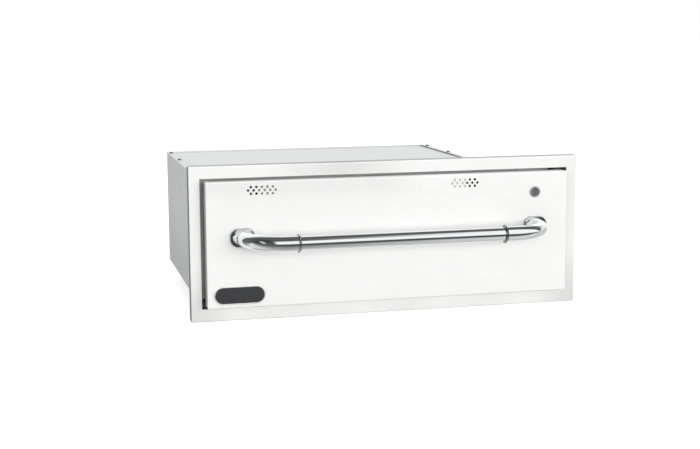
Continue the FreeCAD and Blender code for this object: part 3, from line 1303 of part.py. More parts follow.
def route(*steps):
    """Corner points, each step changing only the coordinates it names."""
    points = [steps[0]]
    for step in steps[1:]:
        last = points[-1]
        points.append(V(step.get("x", last.x), step.get("y", last.y), step.get("z", last.z)))
    return points


def lead_wires():
    """Insulated leads between the element, the control, the switch, the lamp and the block."""
    pin_end = ELEMENT_END + PIN_LENGTH
    turn_x = pin_end + WIRE_LOOP
    low, mid, high = [BLOCK_TOP + WIRE_LOOP * level for level in (1, 2, 3)]
    way_1, way_2, way_3 = [block_entry(way, 1) for way in range(BLOCK_WAYS)]
    far_y = block_entry(0, 3).y
    switch = V(BODY_RIGHT + LIMIT_T + LIMIT_TAB_L, LIMIT_Y, LIMIT_Z)
    wires = [
        route(V(pin_end, ELEMENT_FRONT_Y, ELEMENT_Z), {"x": turn_x}, {"z": mid}, {"y": way_1.y},
              {"x": way_1.x}, {"z": BLOCK_TOP}),
        route(V(pin_end, ELEMENT_RETURN_Y, ELEMENT_Z), {"x": turn_x}, {"z": mid}, {"x": way_2.x},
              {"y": far_y}, {"z": BLOCK_TOP}),
        route(V(way_2.x, middle((PLATE_BACK, THERMOSTAT_BACK)), KNOB_Z - THERMOSTAT_H / 2), {"z": low},
              {"y": way_2.y}, {"z": BLOCK_TOP}),
        route(V(LAMP_X, PLATE_FACE + LAMP_HOUSING_L, LAMP_Z), {"y": THERMOSTAT_BACK + WIRE_LOOP},
              {"x": way_3.x}, {"z": mid}, {"y": way_3.y}, {"z": BLOCK_TOP}),
        route(switch.sub(V(0, LIMIT_TAB_SPACE, 0)), {"x": KNOB_X + THERMOSTAT_W / 4}, {"z": KNOB_Z},
              {"y": THERMOSTAT_BACK}),
        route(switch.add(V(0, LIMIT_TAB_SPACE, 0)), {"x": way_1.x}, {"z": high}, {"y": far_y},
              {"z": BLOCK_TOP})]
    return [bent_tube(WIRE_R, points, WIRE_BEND) for points in wires]


# ---------------------------------------------------------------- every node

NODES = {
    "trim_frame": trim_frame,
    "face_plate": face_plate,
    "side_panel_left": lambda: side_panel(LEFT),
    "side_panel_right": lambda: side_panel(RIGHT),
    "top_panel": top_panel,
    "bottom_panel": bottom_panel,
    "back_panel": back_panel,
    "panel_screws": panel_screws,
    "corner_bumpers": corner_bumpers,
    "cavity_liner": cavity_liner,
    "insulation_wrap": insulation_wrap,
    "insulation_slabs": lambda: [insulation_back(), insulation_floor()],
    "heating_element": heating_element,
    "element_bushings": element_bushings,
    "element_brackets": element_brackets,
    "slide_outer_left": lambda: slide_outer(LEFT),
    "slide_outer_right": lambda: slide_outer(RIGHT),
    "slide_middle_left": lambda: slide_middle(LEFT),
    "slide_middle_right": lambda: slide_middle(RIGHT),
    "slide_inner_left": lambda: slide_inner(LEFT),
    "slide_inner_right": lambda: slide_inner(RIGHT),
    "ball_cages_outer": lambda: ball_cages(OUTER_BALL, OUTER_INSIDE - RACE / 2),
    "ball_cages_inner": lambda: ball_cages(INNER_BALL, MIDDLE_INSIDE - RACE / 2),
    "chassis_rivets": chassis_rivets,
    "tub_rivets": tub_rivets,
    "drawer_front": drawer_front,
    "front_liner": front_liner,
    "front_insulation": front_insulation,
    "front_gasket": front_gasket,
    "shutter_guides": shutter_guides,
    "vent_shutter_left": lambda: vent_shutter(LEFT),
    "vent_shutter_right": lambda: vent_shutter(RIGHT),
    "handle_bar": handle_bar,
    "handle_elbow_left": lambda: handle_elbow(LEFT),
    "handle_elbow_right": lambda: handle_elbow(RIGHT),
    "handle_collars": lambda: [handle_collar(LEFT), handle_collar(RIGHT)],
    "handle_bases": lambda: [handle_base(LEFT), handle_base(RIGHT)],
    "handle_bolts": handle_bolts,
    "handle_backing_plates": handle_backing_plates,
    "badge_rim": badge_rim,
    "badge_plate": badge_plate,
    "sight_ring": sight_ring,
    "sight_glass": sight_glass,
    "drawer_tub": drawer_tub,
    "food_pan": food_pan,
    "wire_rack": wire_rack,
    "control_box": control_box,
    "control_box_cover": control_box_cover,
    "cover_screws": cover_screws,
    "thermostat": thermostat,
    "thermostat_shaft": thermostat_shaft,
    "thermostat_knob": thermostat_knob,
    "dial_plate": dial_plate,
    "thermostat_bulb": thermostat_bulb,
    "limit_switch": limit_switch,
    "terminal_block": terminal_block,
    "lead_wires": lead_wires,
    "cable_gland": lambda: [cable_gland(), gland_locknut()],
    "pilot_lamp": pilot_lamp,
    "pilot_lens": pilot_lens,
}


def save(name, made):
    shape = Part.makeCompound(made) if isinstance(made, list) else made
    shape.exportStep("parts/" + name + ".step")
    return shape


os.makedirs("parts", exist_ok=True)
for node, make in NODES.items():
    built = save(node, make())
    print(node, len(built.Solids), built.isValid(), round(built.Volume))
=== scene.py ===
import math

import bpy
from mathutils import Matrix, Vector


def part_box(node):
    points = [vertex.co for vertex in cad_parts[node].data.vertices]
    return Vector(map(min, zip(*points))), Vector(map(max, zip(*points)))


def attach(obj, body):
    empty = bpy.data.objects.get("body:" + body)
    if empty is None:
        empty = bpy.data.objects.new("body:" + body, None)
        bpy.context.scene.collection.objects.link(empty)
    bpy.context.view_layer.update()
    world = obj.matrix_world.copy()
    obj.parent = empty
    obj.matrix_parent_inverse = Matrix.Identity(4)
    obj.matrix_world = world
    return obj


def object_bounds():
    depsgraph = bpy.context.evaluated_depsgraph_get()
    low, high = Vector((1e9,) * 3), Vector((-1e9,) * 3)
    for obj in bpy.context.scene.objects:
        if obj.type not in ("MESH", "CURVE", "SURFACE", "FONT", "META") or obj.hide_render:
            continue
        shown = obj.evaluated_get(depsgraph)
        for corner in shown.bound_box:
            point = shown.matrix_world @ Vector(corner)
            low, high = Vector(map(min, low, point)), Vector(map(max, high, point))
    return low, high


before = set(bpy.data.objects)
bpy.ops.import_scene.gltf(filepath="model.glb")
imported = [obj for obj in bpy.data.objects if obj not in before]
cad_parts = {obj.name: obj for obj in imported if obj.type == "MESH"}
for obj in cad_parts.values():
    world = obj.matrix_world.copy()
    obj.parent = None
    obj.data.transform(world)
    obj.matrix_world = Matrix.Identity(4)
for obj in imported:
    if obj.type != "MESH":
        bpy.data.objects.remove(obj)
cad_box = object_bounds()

# Metres and radians throughout, in the frame of the CAD model: X to the user's right, Y to the back
# and Z up.

MM = 0.001

# ---------------------------------------------------------------- camera

CAMERA_TARGET = Vector((-0.07696, -0.018, 0.02644))
CAMERA_DISTANCE = 2.4881
CAMERA_AZIMUTH = -0.24412     # a little to the left of the object
CAMERA_ELEVATION = 0.15085    # and above it
CAMERA_ROLL = -0.00519
CAMERA_LENS = 67.73           # mm
CAMERA_SENSOR = 36            # mm wide


def camera_axes():
    """The camera's own axes: right, up and back."""
    back = Vector((math.sin(CAMERA_AZIMUTH) * math.cos(CAMERA_ELEVATION),
                   -math.cos(CAMERA_AZIMUTH) * math.cos(CAMERA_ELEVATION),
                   math.sin(CAMERA_ELEVATION)))
    right = Vector((0, 0, 1)).cross(back).normalized()
    up = back.cross(right)
    cos, sin = math.cos(CAMERA_ROLL), math.sin(CAMERA_ROLL)
    return right * cos + up * sin, up * cos - right * sin, back


def make_camera():
    """The scene's camera, which looks at its target from the front."""
    data = bpy.data.cameras.new("camera")
    data.lens = CAMERA_LENS
    data.sensor_width = CAMERA_SENSOR
    camera = bpy.data.objects.new("camera", data)
    right, up, back = camera_axes()
    place = Matrix((right, up, back)).transposed().to_4x4()
    place.translation = CAMERA_TARGET + back * CAMERA_DISTANCE
    camera.matrix_world = place
    bpy.context.scene.collection.objects.link(camera)
    bpy.context.scene.camera = camera


# ---------------------------------------------------------------- node trees


class Tree:
    """A node tree with short calls for the nodes that the materials use."""

    def __init__(self, tree):
        self.tree = tree

    def add(self, kind, inputs=None, **settings):
        """A node with its settings, and with values or other sockets on its inputs."""
        node = self.tree.nodes.new(kind)
        for key, value in settings.items():
            setattr(node, key, value)
        for socket, value in (inputs or {}).items():
            if isinstance(value, bpy.types.NodeSocket):
                self.tree.links.new(value, node.inputs[socket])
            else:
                node.inputs[socket].default_value = value
        return node

    def math(self, operation, *values):
        """The result of a Math node."""
        return self.add("ShaderNodeMath", dict(enumerate(values)), operation=operation).outputs[0]

    def step(self, value, start, end):
        """A soft step from 0 to 1 between two values."""
        inputs = {"Value": value, "From Min": start, "From Max": end}
        return self.add("ShaderNodeMapRange", inputs, interpolation_type="SMOOTHSTEP").outputs[0]

    def blend(self, share, first, second):
        """The first value where the share is 0, and the second where it is 1."""
        return self.math("MULTIPLY_ADD", share, self.math("SUBTRACT", second, first), first)

    def ramp(self, factor, stops):
        """A colour or grey for each (position, value) stop along the factor."""
        node = self.add("ShaderNodeValToRGB", {"Fac": factor})
        ramp = node.color_ramp    # it starts with two elements
        for index, (position, value) in enumerate(stops):
            element = ramp.elements[index] if index < 2 else ramp.elements.new(position)
            element.position = position
            element.color = tone(value)
        return node.outputs["Color"]


def tone(value):
    """A colour socket's value, from one grey level or from three."""
    levels = value if isinstance(value, tuple) else (value,) * 3
    return (*levels, 1.0)


# ---------------------------------------------------------------- studio

FLOOR_SIZE = 60.0
FLOOR_ALBEDO = 0.74
FLOOR_GLOW = 0.50             # seen by the camera and through glass only
AMBIENT = 0.80                # what the world gives to matt surfaces

# The studio that metal reflects, as (degrees up from the front horizon and over the top, level)
# in three zones, from the far left to the right.
BANDS_FAR_LEFT = [
    (-180, 0.12), (-145, 0.25), (-115, 0.80), (-85, 0.62), (-60, 0.34), (-35, 0.14),
    (10, 0.10), (60, 0.05), (115, 0.10), (150, 0.14), (180, 0.12)]
BANDS_LEFT = [
    (-180, 0.42), (-130, 0.62), (-95, 0.56), (-75, 0.36), (-45, 0.30), (-30, 0.12), (-3, 0.06),
    (8, 0.97), (40, 1.0), (48, 0.11), (116, 0.10), (130, 0.55), (142, 0.82), (172, 0.88), (180, 0.42)]
BANDS_RIGHT = [
    (-180, 0.50), (-130, 0.66), (-108, 0.57), (-85, 0.57), (-60, 0.76), (-38, 0.60), (-26, 0.09),
    (-3, 0.05), (8, 0.97), (66, 1.02), (74, 0.12), (116, 0.10), (130, 0.55), (142, 0.82),
    (172, 0.88), (180, 0.50)]
FAR_LEFT_EDGE = (-0.58, -0.42)    # where one zone turns into the next, along the direction's X
RIGHT_EDGE = (0.18, 0.38)
STRIP_X = (-0.91, -0.79)          # an upright light at the far left, along the direction's X
STRIP_X_FADE = 0.03
STRIP_DEGREES = (8, 66)
STRIP_DEGREES_FADE = 4
STRIP_LEVEL = 0.6

# Each lamp looks at the camera's target: its place, width, height and watts.
LAMPS = {
    "key": ((0.6, -3.0, 0.50), 3.6, 0.8, 76),
    "fill": ((-2.8, -0.3, 0.6), 2.2, 2.2, 36),
    "rear": ((0.4, 2.4, 2.2), 1.8, 1.8, 14),
}


def studio_bands(tree):
    """The studio's level in each direction, as metal reflects it."""
    generated = tree.add("ShaderNodeTexCoord").outputs["Generated"]
    direction = tree.add("ShaderNodeSeparateXYZ", {0: generated})
    across = direction.outputs["X"]
    front = tree.math("MULTIPLY", direction.outputs["Y"], -1.0)
    turn = tree.math("ARCTAN2", direction.outputs["Z"], front)
    position = tree.math("MULTIPLY_ADD", turn, 0.5 / math.pi, 0.5)
    zones = [tree.ramp(position, [(degrees / 360 + 0.5, level) for degrees, level in bands])
             for bands in (BANDS_FAR_LEFT, BANDS_LEFT, BANDS_RIGHT)]
    level = tree.blend(tree.step(across, *FAR_LEFT_EDGE), zones[0], zones[1])
    level = tree.blend(tree.step(across, *RIGHT_EDGE), level, zones[2])
    return tree.math("MAXIMUM", level, studio_strip(tree, across, turn))


def studio_strip(tree, across, turn):
    """The upright light's level, with soft edges."""
    left, right = STRIP_X
    low, high = [math.radians(degrees) for degrees in STRIP_DEGREES]
    fade = math.radians(STRIP_DEGREES_FADE)
    level = STRIP_LEVEL
    for value, start, end in ((across, left, left + STRIP_X_FADE),
                              (across, right, right - STRIP_X_FADE),
                              (turn, low, low + fade),
                              (turn, high, high - fade)):
        level = tree.math("MULTIPLY", level, tree.step(value, start, end))
    return level


def make_world():
    """White for the camera and through glass, banded for metal, and soft grey for matt surfaces."""
    world = bpy.data.worlds.new("studio")
    bpy.context.scene.world = world
    world.use_nodes = True
    world.cycles.sampling_method = "NONE"    # a surface's own rays reach it, which the tree tells apart
    world.node_tree.nodes.clear()
    tree = Tree(world.node_tree)
    rays = tree.add("ShaderNodeLightPath").outputs
    plain = tree.add("ShaderNodeBackground", {"Color": tone(1.0), "Strength": AMBIENT}).outputs[0]
    white = tree.add("ShaderNodeBackground", {"Color": tone(1.0), "Strength": 1.0}).outputs[0]
    banded = tree.add("ShaderNodeBackground", {"Color": studio_bands(tree), "Strength": 1.0}).outputs[0]
    seen = tree.math("MAXIMUM", rays["Is Camera Ray"], rays["Is Transmission Ray"])
    mix = tree.add("ShaderNodeMixShader", {0: seen, 1: plain, 2: white}).outputs[0]
    mix = tree.add("ShaderNodeMixShader", {0: rays["Is Glossy Ray"], 1: mix, 2: banded}).outputs[0]
    tree.add("ShaderNodeOutputWorld", {"Surface": mix})


def floor_material():
    """A matt pale floor that glows for the camera, so that it renders white round the shadow."""
    material = bpy.data.materials.new("floor")
    material.use_nodes = True
    material.node_tree.nodes.clear()
    tree = Tree(material.node_tree)
    rays = tree.add("ShaderNodeLightPath").outputs
    seen = tree.math("MAXIMUM", rays["Is Camera Ray"], rays["Is Transmission Ray"])
    matt = tree.add("ShaderNodeBsdfDiffuse", {"Color": tone(FLOOR_ALBEDO)}).outputs[0]
    strength = tree.math("MULTIPLY", seen, FLOOR_GLOW)
    glow = tree.add("ShaderNodeEmission", {"Color": tone(1.0), "Strength": strength}).outputs[0]
    both = tree.add("ShaderNodeAddShader", {0: matt, 1: glow}).outputs[0]
    tree.add("ShaderNodeOutputMaterial", {"Surface": both})
    return material


def make_floor():
    """A wide floor at the height of the object's lowest point, which metal doesn't reflect."""
    half = FLOOR_SIZE / 2
    z = cad_box[0].z
    points = [(-half, -half, z), (half, -half, z), (half, half, z), (-half, half, z)]
    mesh = bpy.data.meshes.new("floor")
    mesh.from_pydata(points, [], [(0, 1, 2, 3)])
    mesh.materials.append(floor_material())
    floor = bpy.data.objects.new("floor", mesh)
    floor.visible_glossy = False
    bpy.context.scene.collection.objects.link(floor)


def make_lamp(name, place, width, height, power):
    """A soft lamp that looks at the camera's target, and that metal doesn't reflect."""
    data = bpy.data.lights.new(name, "AREA")
    data.shape = "RECTANGLE"
    data.size = width
    data.size_y = height
    data.energy = power
    lamp = bpy.data.objects.new(name, data)
    lamp.location = place
    lamp.rotation_euler = (Vector(place) - CAMERA_TARGET).to_track_quat("Z", "Y").to_euler()
    lamp.visible_glossy = False
    bpy.context.scene.collection.objects.link(lamp)


def make_studio():
    make_world()
    make_floor()
    for name, settings in LAMPS.items():
        make_lamp(name, *settings)


# ---------------------------------------------------------------- material recipes


class Surface(Tree):
    """A material round one Principled shader."""

    def __init__(self, name, **sockets):
        self.material = bpy.data.materials.new(name)
        self.material.use_nodes = True
        super().__init__(self.material.node_tree)
        self.shader = self.tree.nodes["Principled BSDF"]
        for socket, value in sockets.items():
            self.shader.inputs[socket.replace("_", " ")].default_value = value

    def points(self, stretch=(1, 1, 1)):
        """Points of the piece in metres, squeezed along each axis."""
        spot = self.add("ShaderNodeTexCoord").outputs["Object"]
        return self.add("ShaderNodeMapping", {"Vector": spot, "Scale": stretch}).outputs[0]

    def noise(self, per_metre, stretch=(1, 1, 1), detail=3.0, roughness=0.5):
        """Soft noise with that many features in a metre."""
        inputs = {"Vector": self.points(stretch), "Scale": per_metre, "Detail": detail,
                  "Roughness": roughness}
        return self.add("ShaderNodeTexNoise", inputs).outputs["Fac"]

    def cells(self, per_metre):
        """Patches with a level each, that many in a metre."""
        inputs = {"Vector": self.points(), "Scale": per_metre}
        colour = self.add("ShaderNodeTexVoronoi", inputs).outputs["Color"]
        return self.add("ShaderNodeSeparateColor", {0: colour}).outputs[0]

    def between(self, factor, low, high, start=0.0, end=1.0):
        """The factor, remapped from start..end to low..high."""
        inputs = {"Value": factor, "From Min": start, "From Max": end, "To Min": low, "To Max": high}
        return self.add("ShaderNodeMapRange", inputs).outputs[0]

    def weighed(self, first, first_share, second, second_share):
        """The sum of two levels, each times its share."""
        first = self.math("MULTIPLY", first, first_share)
        return self.math("ADD", first, self.math("MULTIPLY", second, second_share))

    def zone(self, steps):
        """1 inside a zone of the piece and 0 outside it.

        Each (axis, start, end) is a soft step from outside to inside the zone. X, Y and Z are
        axes of the piece, and on "X out" or "Z out" the step runs both ways from the origin.
        """
        spot = self.add("ShaderNodeSeparateXYZ", {0: self.points()})
        share = 1.0
        for axis, start, end in steps:
            place = spot.outputs[axis[0]]
            if axis.endswith("out"):
                place = self.math("ABSOLUTE", place)
            share = self.math("MULTIPLY", self.step(place, start, end), share)
        return share

    def shaded(self, colour, painted_shades):
        """The colour, darkened by each painted shade (darkening, zone)."""
        for darkening, zone in painted_shades:
            colour = self.scaled(colour, self.between(self.zone(zone), 1.0, 1 - darkening))
        return colour

    def mixed(self, factor, first, second):
        """A colour mixed from two colours or sockets."""
        inputs = {0: factor, 6: first, 7: second}
        return self.add("ShaderNodeMix", inputs, data_type="RGBA").outputs[2]

    def scaled(self, colour, factor):
        """The colour, a little darker or lighter."""
        inputs = {0: colour, "Scale": factor}
        return self.add("ShaderNodeVectorMath", inputs, operation="SCALE").outputs[0]

    def drive(self, socket, source):
        """Let a node's output set one of the shader's sockets."""
        self.tree.links.new(source, self.shader.inputs[socket])

    def lined_gloss(self, lines, patches, dull, bright):
        """A roughness from dull to bright in patches, and a little up and down along fine lines."""
        patchy = self.between(patches, dull, bright)
        self.drive("Roughness", self.math("ADD", self.between(lines, -0.03, 0.03), patchy))

    def relief(self, *layers):
        """Bumps from (height, depth in metres, strength) layers, one after the other."""
        normal = None
        for height, depth, strength in layers:
            inputs = {"Height": height, "Distance": depth, "Strength": strength}
            if normal:
                inputs["Normal"] = normal
            normal = self.add("ShaderNodeBump", inputs).outputs[0]
        self.drive("Normal", normal)


NOISE_RANGE = (0.3, 0.7)      # where most of a noise's levels lie


def times(base, factor):
    """A colour, with each level multiplied."""
    return tuple(level * factor for level in base)


def brushed_steel(name, base, metallic, roughness=0.40, clouds=0.04, painted_shades=(), matt=None):
    """Stainless with fine brush lines along X and soft clouds from handling.

    Each painted shade is (darkening, zone), and matt is a zone that doesn't mirror.
    """
    surface = Surface(name, Metallic=metallic)
    lines = surface.noise(1400, (0.02, 1, 1), detail=2.0, roughness=0.6)
    cloud = surface.noise(7, detail=3.0, roughness=0.55)
    light, dark = times(base, 1 + clouds * 0.3), times(base, 1 - clouds)
    tinted = surface.ramp(cloud, [(0.30, dark), (0.62, light)])
    factor = surface.between(lines, 0.0, 1.0, *NOISE_RANGE)
    colour = surface.mixed(factor, surface.scaled(tinted, 0.985), tinted)
    surface.drive("Base Color", surface.shaded(colour, painted_shades))
    if matt:
        surface.drive("Metallic", surface.between(surface.zone(matt), metallic, 0.0))
    surface.lined_gloss(lines, cloud, roughness + 0.03, roughness - 0.03)
    surface.relief((lines, 0.02 * MM, 0.15), (surface.noise(9, detail=1.0), 0.25 * MM, 0.25))
    return surface.material


def galvanised(name, base, metallic=0.5, grain=0.05, painted_shades=()):
    """Zinc-coated sheet with a faint spangle; each painted shade is (darkening, zone)."""
    surface = Surface(name, Metallic=metallic)
    spangle = surface.cells(95)
    cloud = surface.noise(5, detail=4.0)
    both = surface.weighed(spangle, 0.4, cloud, 0.6)
    colour = surface.ramp(both, [(0.25, times(base, 1 - grain)), (0.75, times(base, 1 + grain))])
    surface.drive("Base Color", surface.shaded(colour, painted_shades))
    surface.drive("Roughness", surface.between(spangle, 0.32, 0.40))
    surface.relief((surface.noise(600, detail=3.0), 0.02 * MM, 0.3), (cloud, 0.4 * MM, 0.25))
    return surface.material


def rolled_steel(name, base, roughness):
    """Mill-finished sheet with faint rolling lines and handling marks."""
    surface = Surface(name, Metallic=1.0)
    lines = surface.noise(300, (1, 0.03, 1), detail=3.0)
    marks = surface.noise(22, detail=5.0, roughness=0.65)
    surface.drive("Base Color", surface.ramp(marks, [(0.35, times(base, 0.93)), (0.6, base)]))
    surface.lined_gloss(lines, marks, roughness + 0.05, roughness - 0.03)
    surface.relief((lines, 0.02 * MM, 0.2), (surface.noise(12, detail=1.0), 0.3 * MM, 0.2))
    return surface.material


def plated(name, base, roughness, speck=0.05, metallic=1.0):
    """A plated or polished part: nearly even, with faint stains that change its gloss."""
    surface = Surface(name, Metallic=metallic)
    stain = surface.noise(60, detail=4.0, roughness=0.6)
    surface.drive("Base Color", surface.ramp(stain, [(0.3, times(base, 1 - speck)), (0.6, base)]))
    surface.drive("Roughness", surface.between(stain, roughness * 1.35, roughness * 0.75, *NOISE_RANGE))
    surface.relief((surface.noise(90, detail=1.0), 0.05 * MM, 0.15))
    return surface.material


def moulded(name, base, roughness, grain=500, depth=0.05 * MM, **sockets):
    """A matt moulding, paint, rubber or ceramic with a fine grain."""
    surface = Surface(name, **sockets)
    shade = surface.noise(40, detail=4.0, roughness=0.6)
    surface.drive("Base Color", surface.ramp(shade, [(0.35, times(base, 0.88)), (0.65, base)]))
    surface.drive("Roughness", surface.between(shade, roughness + 0.05, roughness - 0.05, *NOISE_RANGE))
    surface.relief((surface.noise(grain, detail=2.0), depth, 0.5))
    return surface.material


def clear(name, tint, roughness, ior):
    """A clear or tinted solid with faint streaks inside it."""
    surface = Surface(name, Transmission_Weight=1.0, IOR=ior)
    streak = surface.noise(120, (1, 0.1, 1), detail=2.0)
    surface.drive("Base Color", surface.ramp(streak, [(0.35, times(tint, 0.9)), (0.65, tint)]))
    surface.drive("Roughness", surface.between(streak, roughness, roughness + 0.05))
    return surface.material


def glass_wool(name, light, dark):
    """Matted fibres in two tones, deeper where they part."""
    surface = Surface(name, Roughness=0.95, Sheen_Weight=0.4)
    tufts = surface.noise(70, detail=6.0, roughness=0.7)
    fibres = surface.noise(900, (0.12, 1, 1), detail=3.0)
    both = surface.weighed(tufts, 0.7, fibres, 0.3)
    surface.drive("Base Color", surface.ramp(both, [(0.35, dark), (0.62, light)]))
    surface.relief((fibres, 0.4 * MM, 0.7), (tufts, 3 * MM, 0.8))
    return surface.material


# ---------------------------------------------------------------- painted shade and reflections on the sheets

TRIM_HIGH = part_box("trim_frame")[1]
FRONT_LOW, FRONT_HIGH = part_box("drawer_front")
SIDE_GAP = 6.6 * MM           # between the drawer front and the trim, at each side
END_GAP = 4.3 * MM            # and above and below
OPENING_X = FRONT_HIGH.x + SIDE_GAP
OPENING_Z = FRONT_HIGH.z + END_GAP
BODY_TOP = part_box("top_panel")[1].z
RIGHT_FLANGE_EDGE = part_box("side_panel_right")[0].x    # the panel's top flange points inwards


def near(edge, start, end):
    """A step's two ends, each so many millimetres past an edge along the axis."""
    return edge + start * MM, edge + end * MM


# Each painted shade or reflection is (darkening, zone), with the zone's steps as Surface.zone reads
# them.
TRIM_PAINTED_SHADES = [
    # painted shade over the whole face, darker towards the top
    (0.10, [("Z", -0.11, 0.13)]),
    # a painted reflection: a dark patch left of the middle of the top rail
    (0.14, [("Z", 0.11, 0.13), ("X", -0.26, -0.10), ("X", 0.06, -0.07)]),
    # a painted reflection: both lower corners darker
    (0.20, [("X out", 0.29, 0.38), ("Z", -0.02, -0.15)]),
    # painted shade and reflection on the folds at both sides, and more at the left one
    (0.30, [("X out", *near(TRIM_HIGH.x, -1.3, -0.2))]),
    (0.77, [("X", *near(-TRIM_HIGH.x, 1.3, 0.2))]),
    # painted shade on the folds at the top and the bottom
    (0.45, [("Z out", *near(TRIM_HIGH.z, -1.4, -0.3))]),
    # painted shade on the inward returns, which line the dark gap
    (0.78, [("X out", *near(OPENING_X, 1.2, 0)), ("Z out", *near(OPENING_Z, 1.2, 0))])]
FRONT_PAINTED_SHADES = [
    # painted shade over the whole face, darker towards the top
    (0.06, [("Z", -0.10, 0.10)]),
    # a painted reflection: the upper left darker
    (0.08, [("Z", 0.07, 0.11), ("X", 0.10, -0.04)]),
    # painted shade on the folds at both sides
    (0.50, [("X out", *near(FRONT_HIGH.x, -1.2, -0.2))]),
    # painted shade behind the face, which shows only as the walls of its holes
    (0.92, [("X out", *near(FRONT_HIGH.x, -3, -4)),
            ("Z out", *near(FRONT_HIGH.z, -3, -4)),
            ("Y", *near(FRONT_LOW.y, 0.15, 0.3))])]
FRONT_MATT = [("Z out", *near(FRONT_HIGH.z, -1.0, -0.2))]       # the folds at the top and the bottom
# painted shade on the body's sheets, darker towards the bottom
SIDE_PAINTED_SHADE = (0.14, [("Z", 0.03, -0.11)])                        # towards the bottom
BELOW_FLANGE = [("Z", *near(BODY_TOP, 0.9, 0.3))]               # all of a side panel but its top flange
# a painted shadow along the inner edge of the right panel's top flange
FLANGE_EDGE = [("X", *near(RIGHT_FLANGE_EDGE, 0.6, 0))]
# painted shade: each side panel darker below its top flange and towards the bottom
LEFT_PAINTED_SHADES = [SIDE_PAINTED_SHADE, (0.20, BELOW_FLANGE)]
RIGHT_PAINTED_SHADES = [SIDE_PAINTED_SHADE, (0.27, BELOW_FLANGE), (0.88, FLANGE_EDGE)]

# ---------------------------------------------------------------- finish of every CAD node

SLIDE_MEMBERS = [f"slide_{member}_{side}" for member in ("outer", "middle", "inner")
                 for side in ("left", "right")]


def dress(material, *nodes):
    """Give CAD nodes a material in place of their own."""
    for node in nodes:
        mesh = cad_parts[node].data
        mesh.materials.clear()
        mesh.materials.append(material)


def dress_front():
    """The trim, the drawer front and what shows on it, in it and round it."""
    dress(brushed_steel("front_steel", (0.93, 0.93, 0.925), 0.35, clouds=0.02,
                        painted_shades=FRONT_PAINTED_SHADES, matt=FRONT_MATT), "drawer_front")
    dress(brushed_steel("trim_steel", (0.97, 0.97, 0.965), 0.35, roughness=0.34, clouds=0.05,
                        painted_shades=TRIM_PAINTED_SHADES), "trim_frame")
    dress(plated("chrome", (0.93, 0.935, 0.94), 0.035, speck=0.02),
          "handle_bar", "handle_elbow_left", "handle_elbow_right")
    # a painted reflection: the collars wear a dark copy of the chrome, for the dark that they reflect
    dress(plated("chrome_painted_dark_reflection", (0.26, 0.265, 0.27), 0.08, speck=0.06), "handle_collars")
    # a painted reflection: the bases wear a dimmer copy of the chrome
    dress(plated("chrome_painted_dim_reflection", (0.72, 0.725, 0.73), 0.06, speck=0.04), "handle_bases")
    dress(plated("rim_chrome", (0.88, 0.88, 0.88), 0.16, speck=0.02, metallic=0.6), "badge_rim")
    dress(moulded("badge_paint", (0.038, 0.038, 0.041), 0.30, grain=300, Coat_Weight=0.4),
          "badge_plate")
    dress(plated("satin_chrome", (0.46, 0.46, 0.46), 0.24, speck=0.05, metallic=0.6), "sight_ring")
    dress(moulded("sight_rod", (0.40, 0.39, 0.39), 0.12, grain=900, Transmission_Weight=0.5, IOR=1.47),
          "sight_glass")
    # painted shade and light: the two vent shutters are one sheet, in a shaded grey copy on the left
    # and a paler lit copy on the right
    dress(galvanised("shutter_painted_shade", (0.40, 0.40, 0.40), metallic=0.4), "vent_shutter_left")
    dress(galvanised("shutter_painted_light", (0.84, 0.84, 0.84), metallic=0.2), "vent_shutter_right")
    dress(moulded("silicone", (0.050, 0.050, 0.052), 0.55, Specular_IOR_Level=0.35),
          "front_gasket", "corner_bumpers")


def dress_body():
    """The body's sheets."""
    dress(brushed_steel("face_steel", (0.86, 0.86, 0.855), 0.2, roughness=0.34), "face_plate")
    # painted light and shade: the two side panels are one sheet, in a darker copy on the left and a
    # paler one on the right
    dress(galvanised("left_sheet", (0.85, 0.855, 0.86), painted_shades=LEFT_PAINTED_SHADES), "side_panel_left")
    dress(galvanised("right_sheet", (0.93, 0.93, 0.93), metallic=0.2, painted_shades=RIGHT_PAINTED_SHADES),
          "side_panel_right")
    dress(galvanised("top_sheet", (0.87, 0.875, 0.88), grain=0.04), "top_panel")
    # painted shade on the back and bottom panels, darker towards the bottom
    dress(galvanised("side_sheet", (0.68, 0.685, 0.69), painted_shades=[SIDE_PAINTED_SHADE]),
          "back_panel", "bottom_panel")
    dress(galvanised("box_sheet", (0.68, 0.69, 0.70), grain=0.10),
          "control_box", "control_box_cover", "handle_backing_plates")
    dress(plated("bright_screws", (0.88, 0.885, 0.89), 0.12, speck=0.03), "panel_screws")


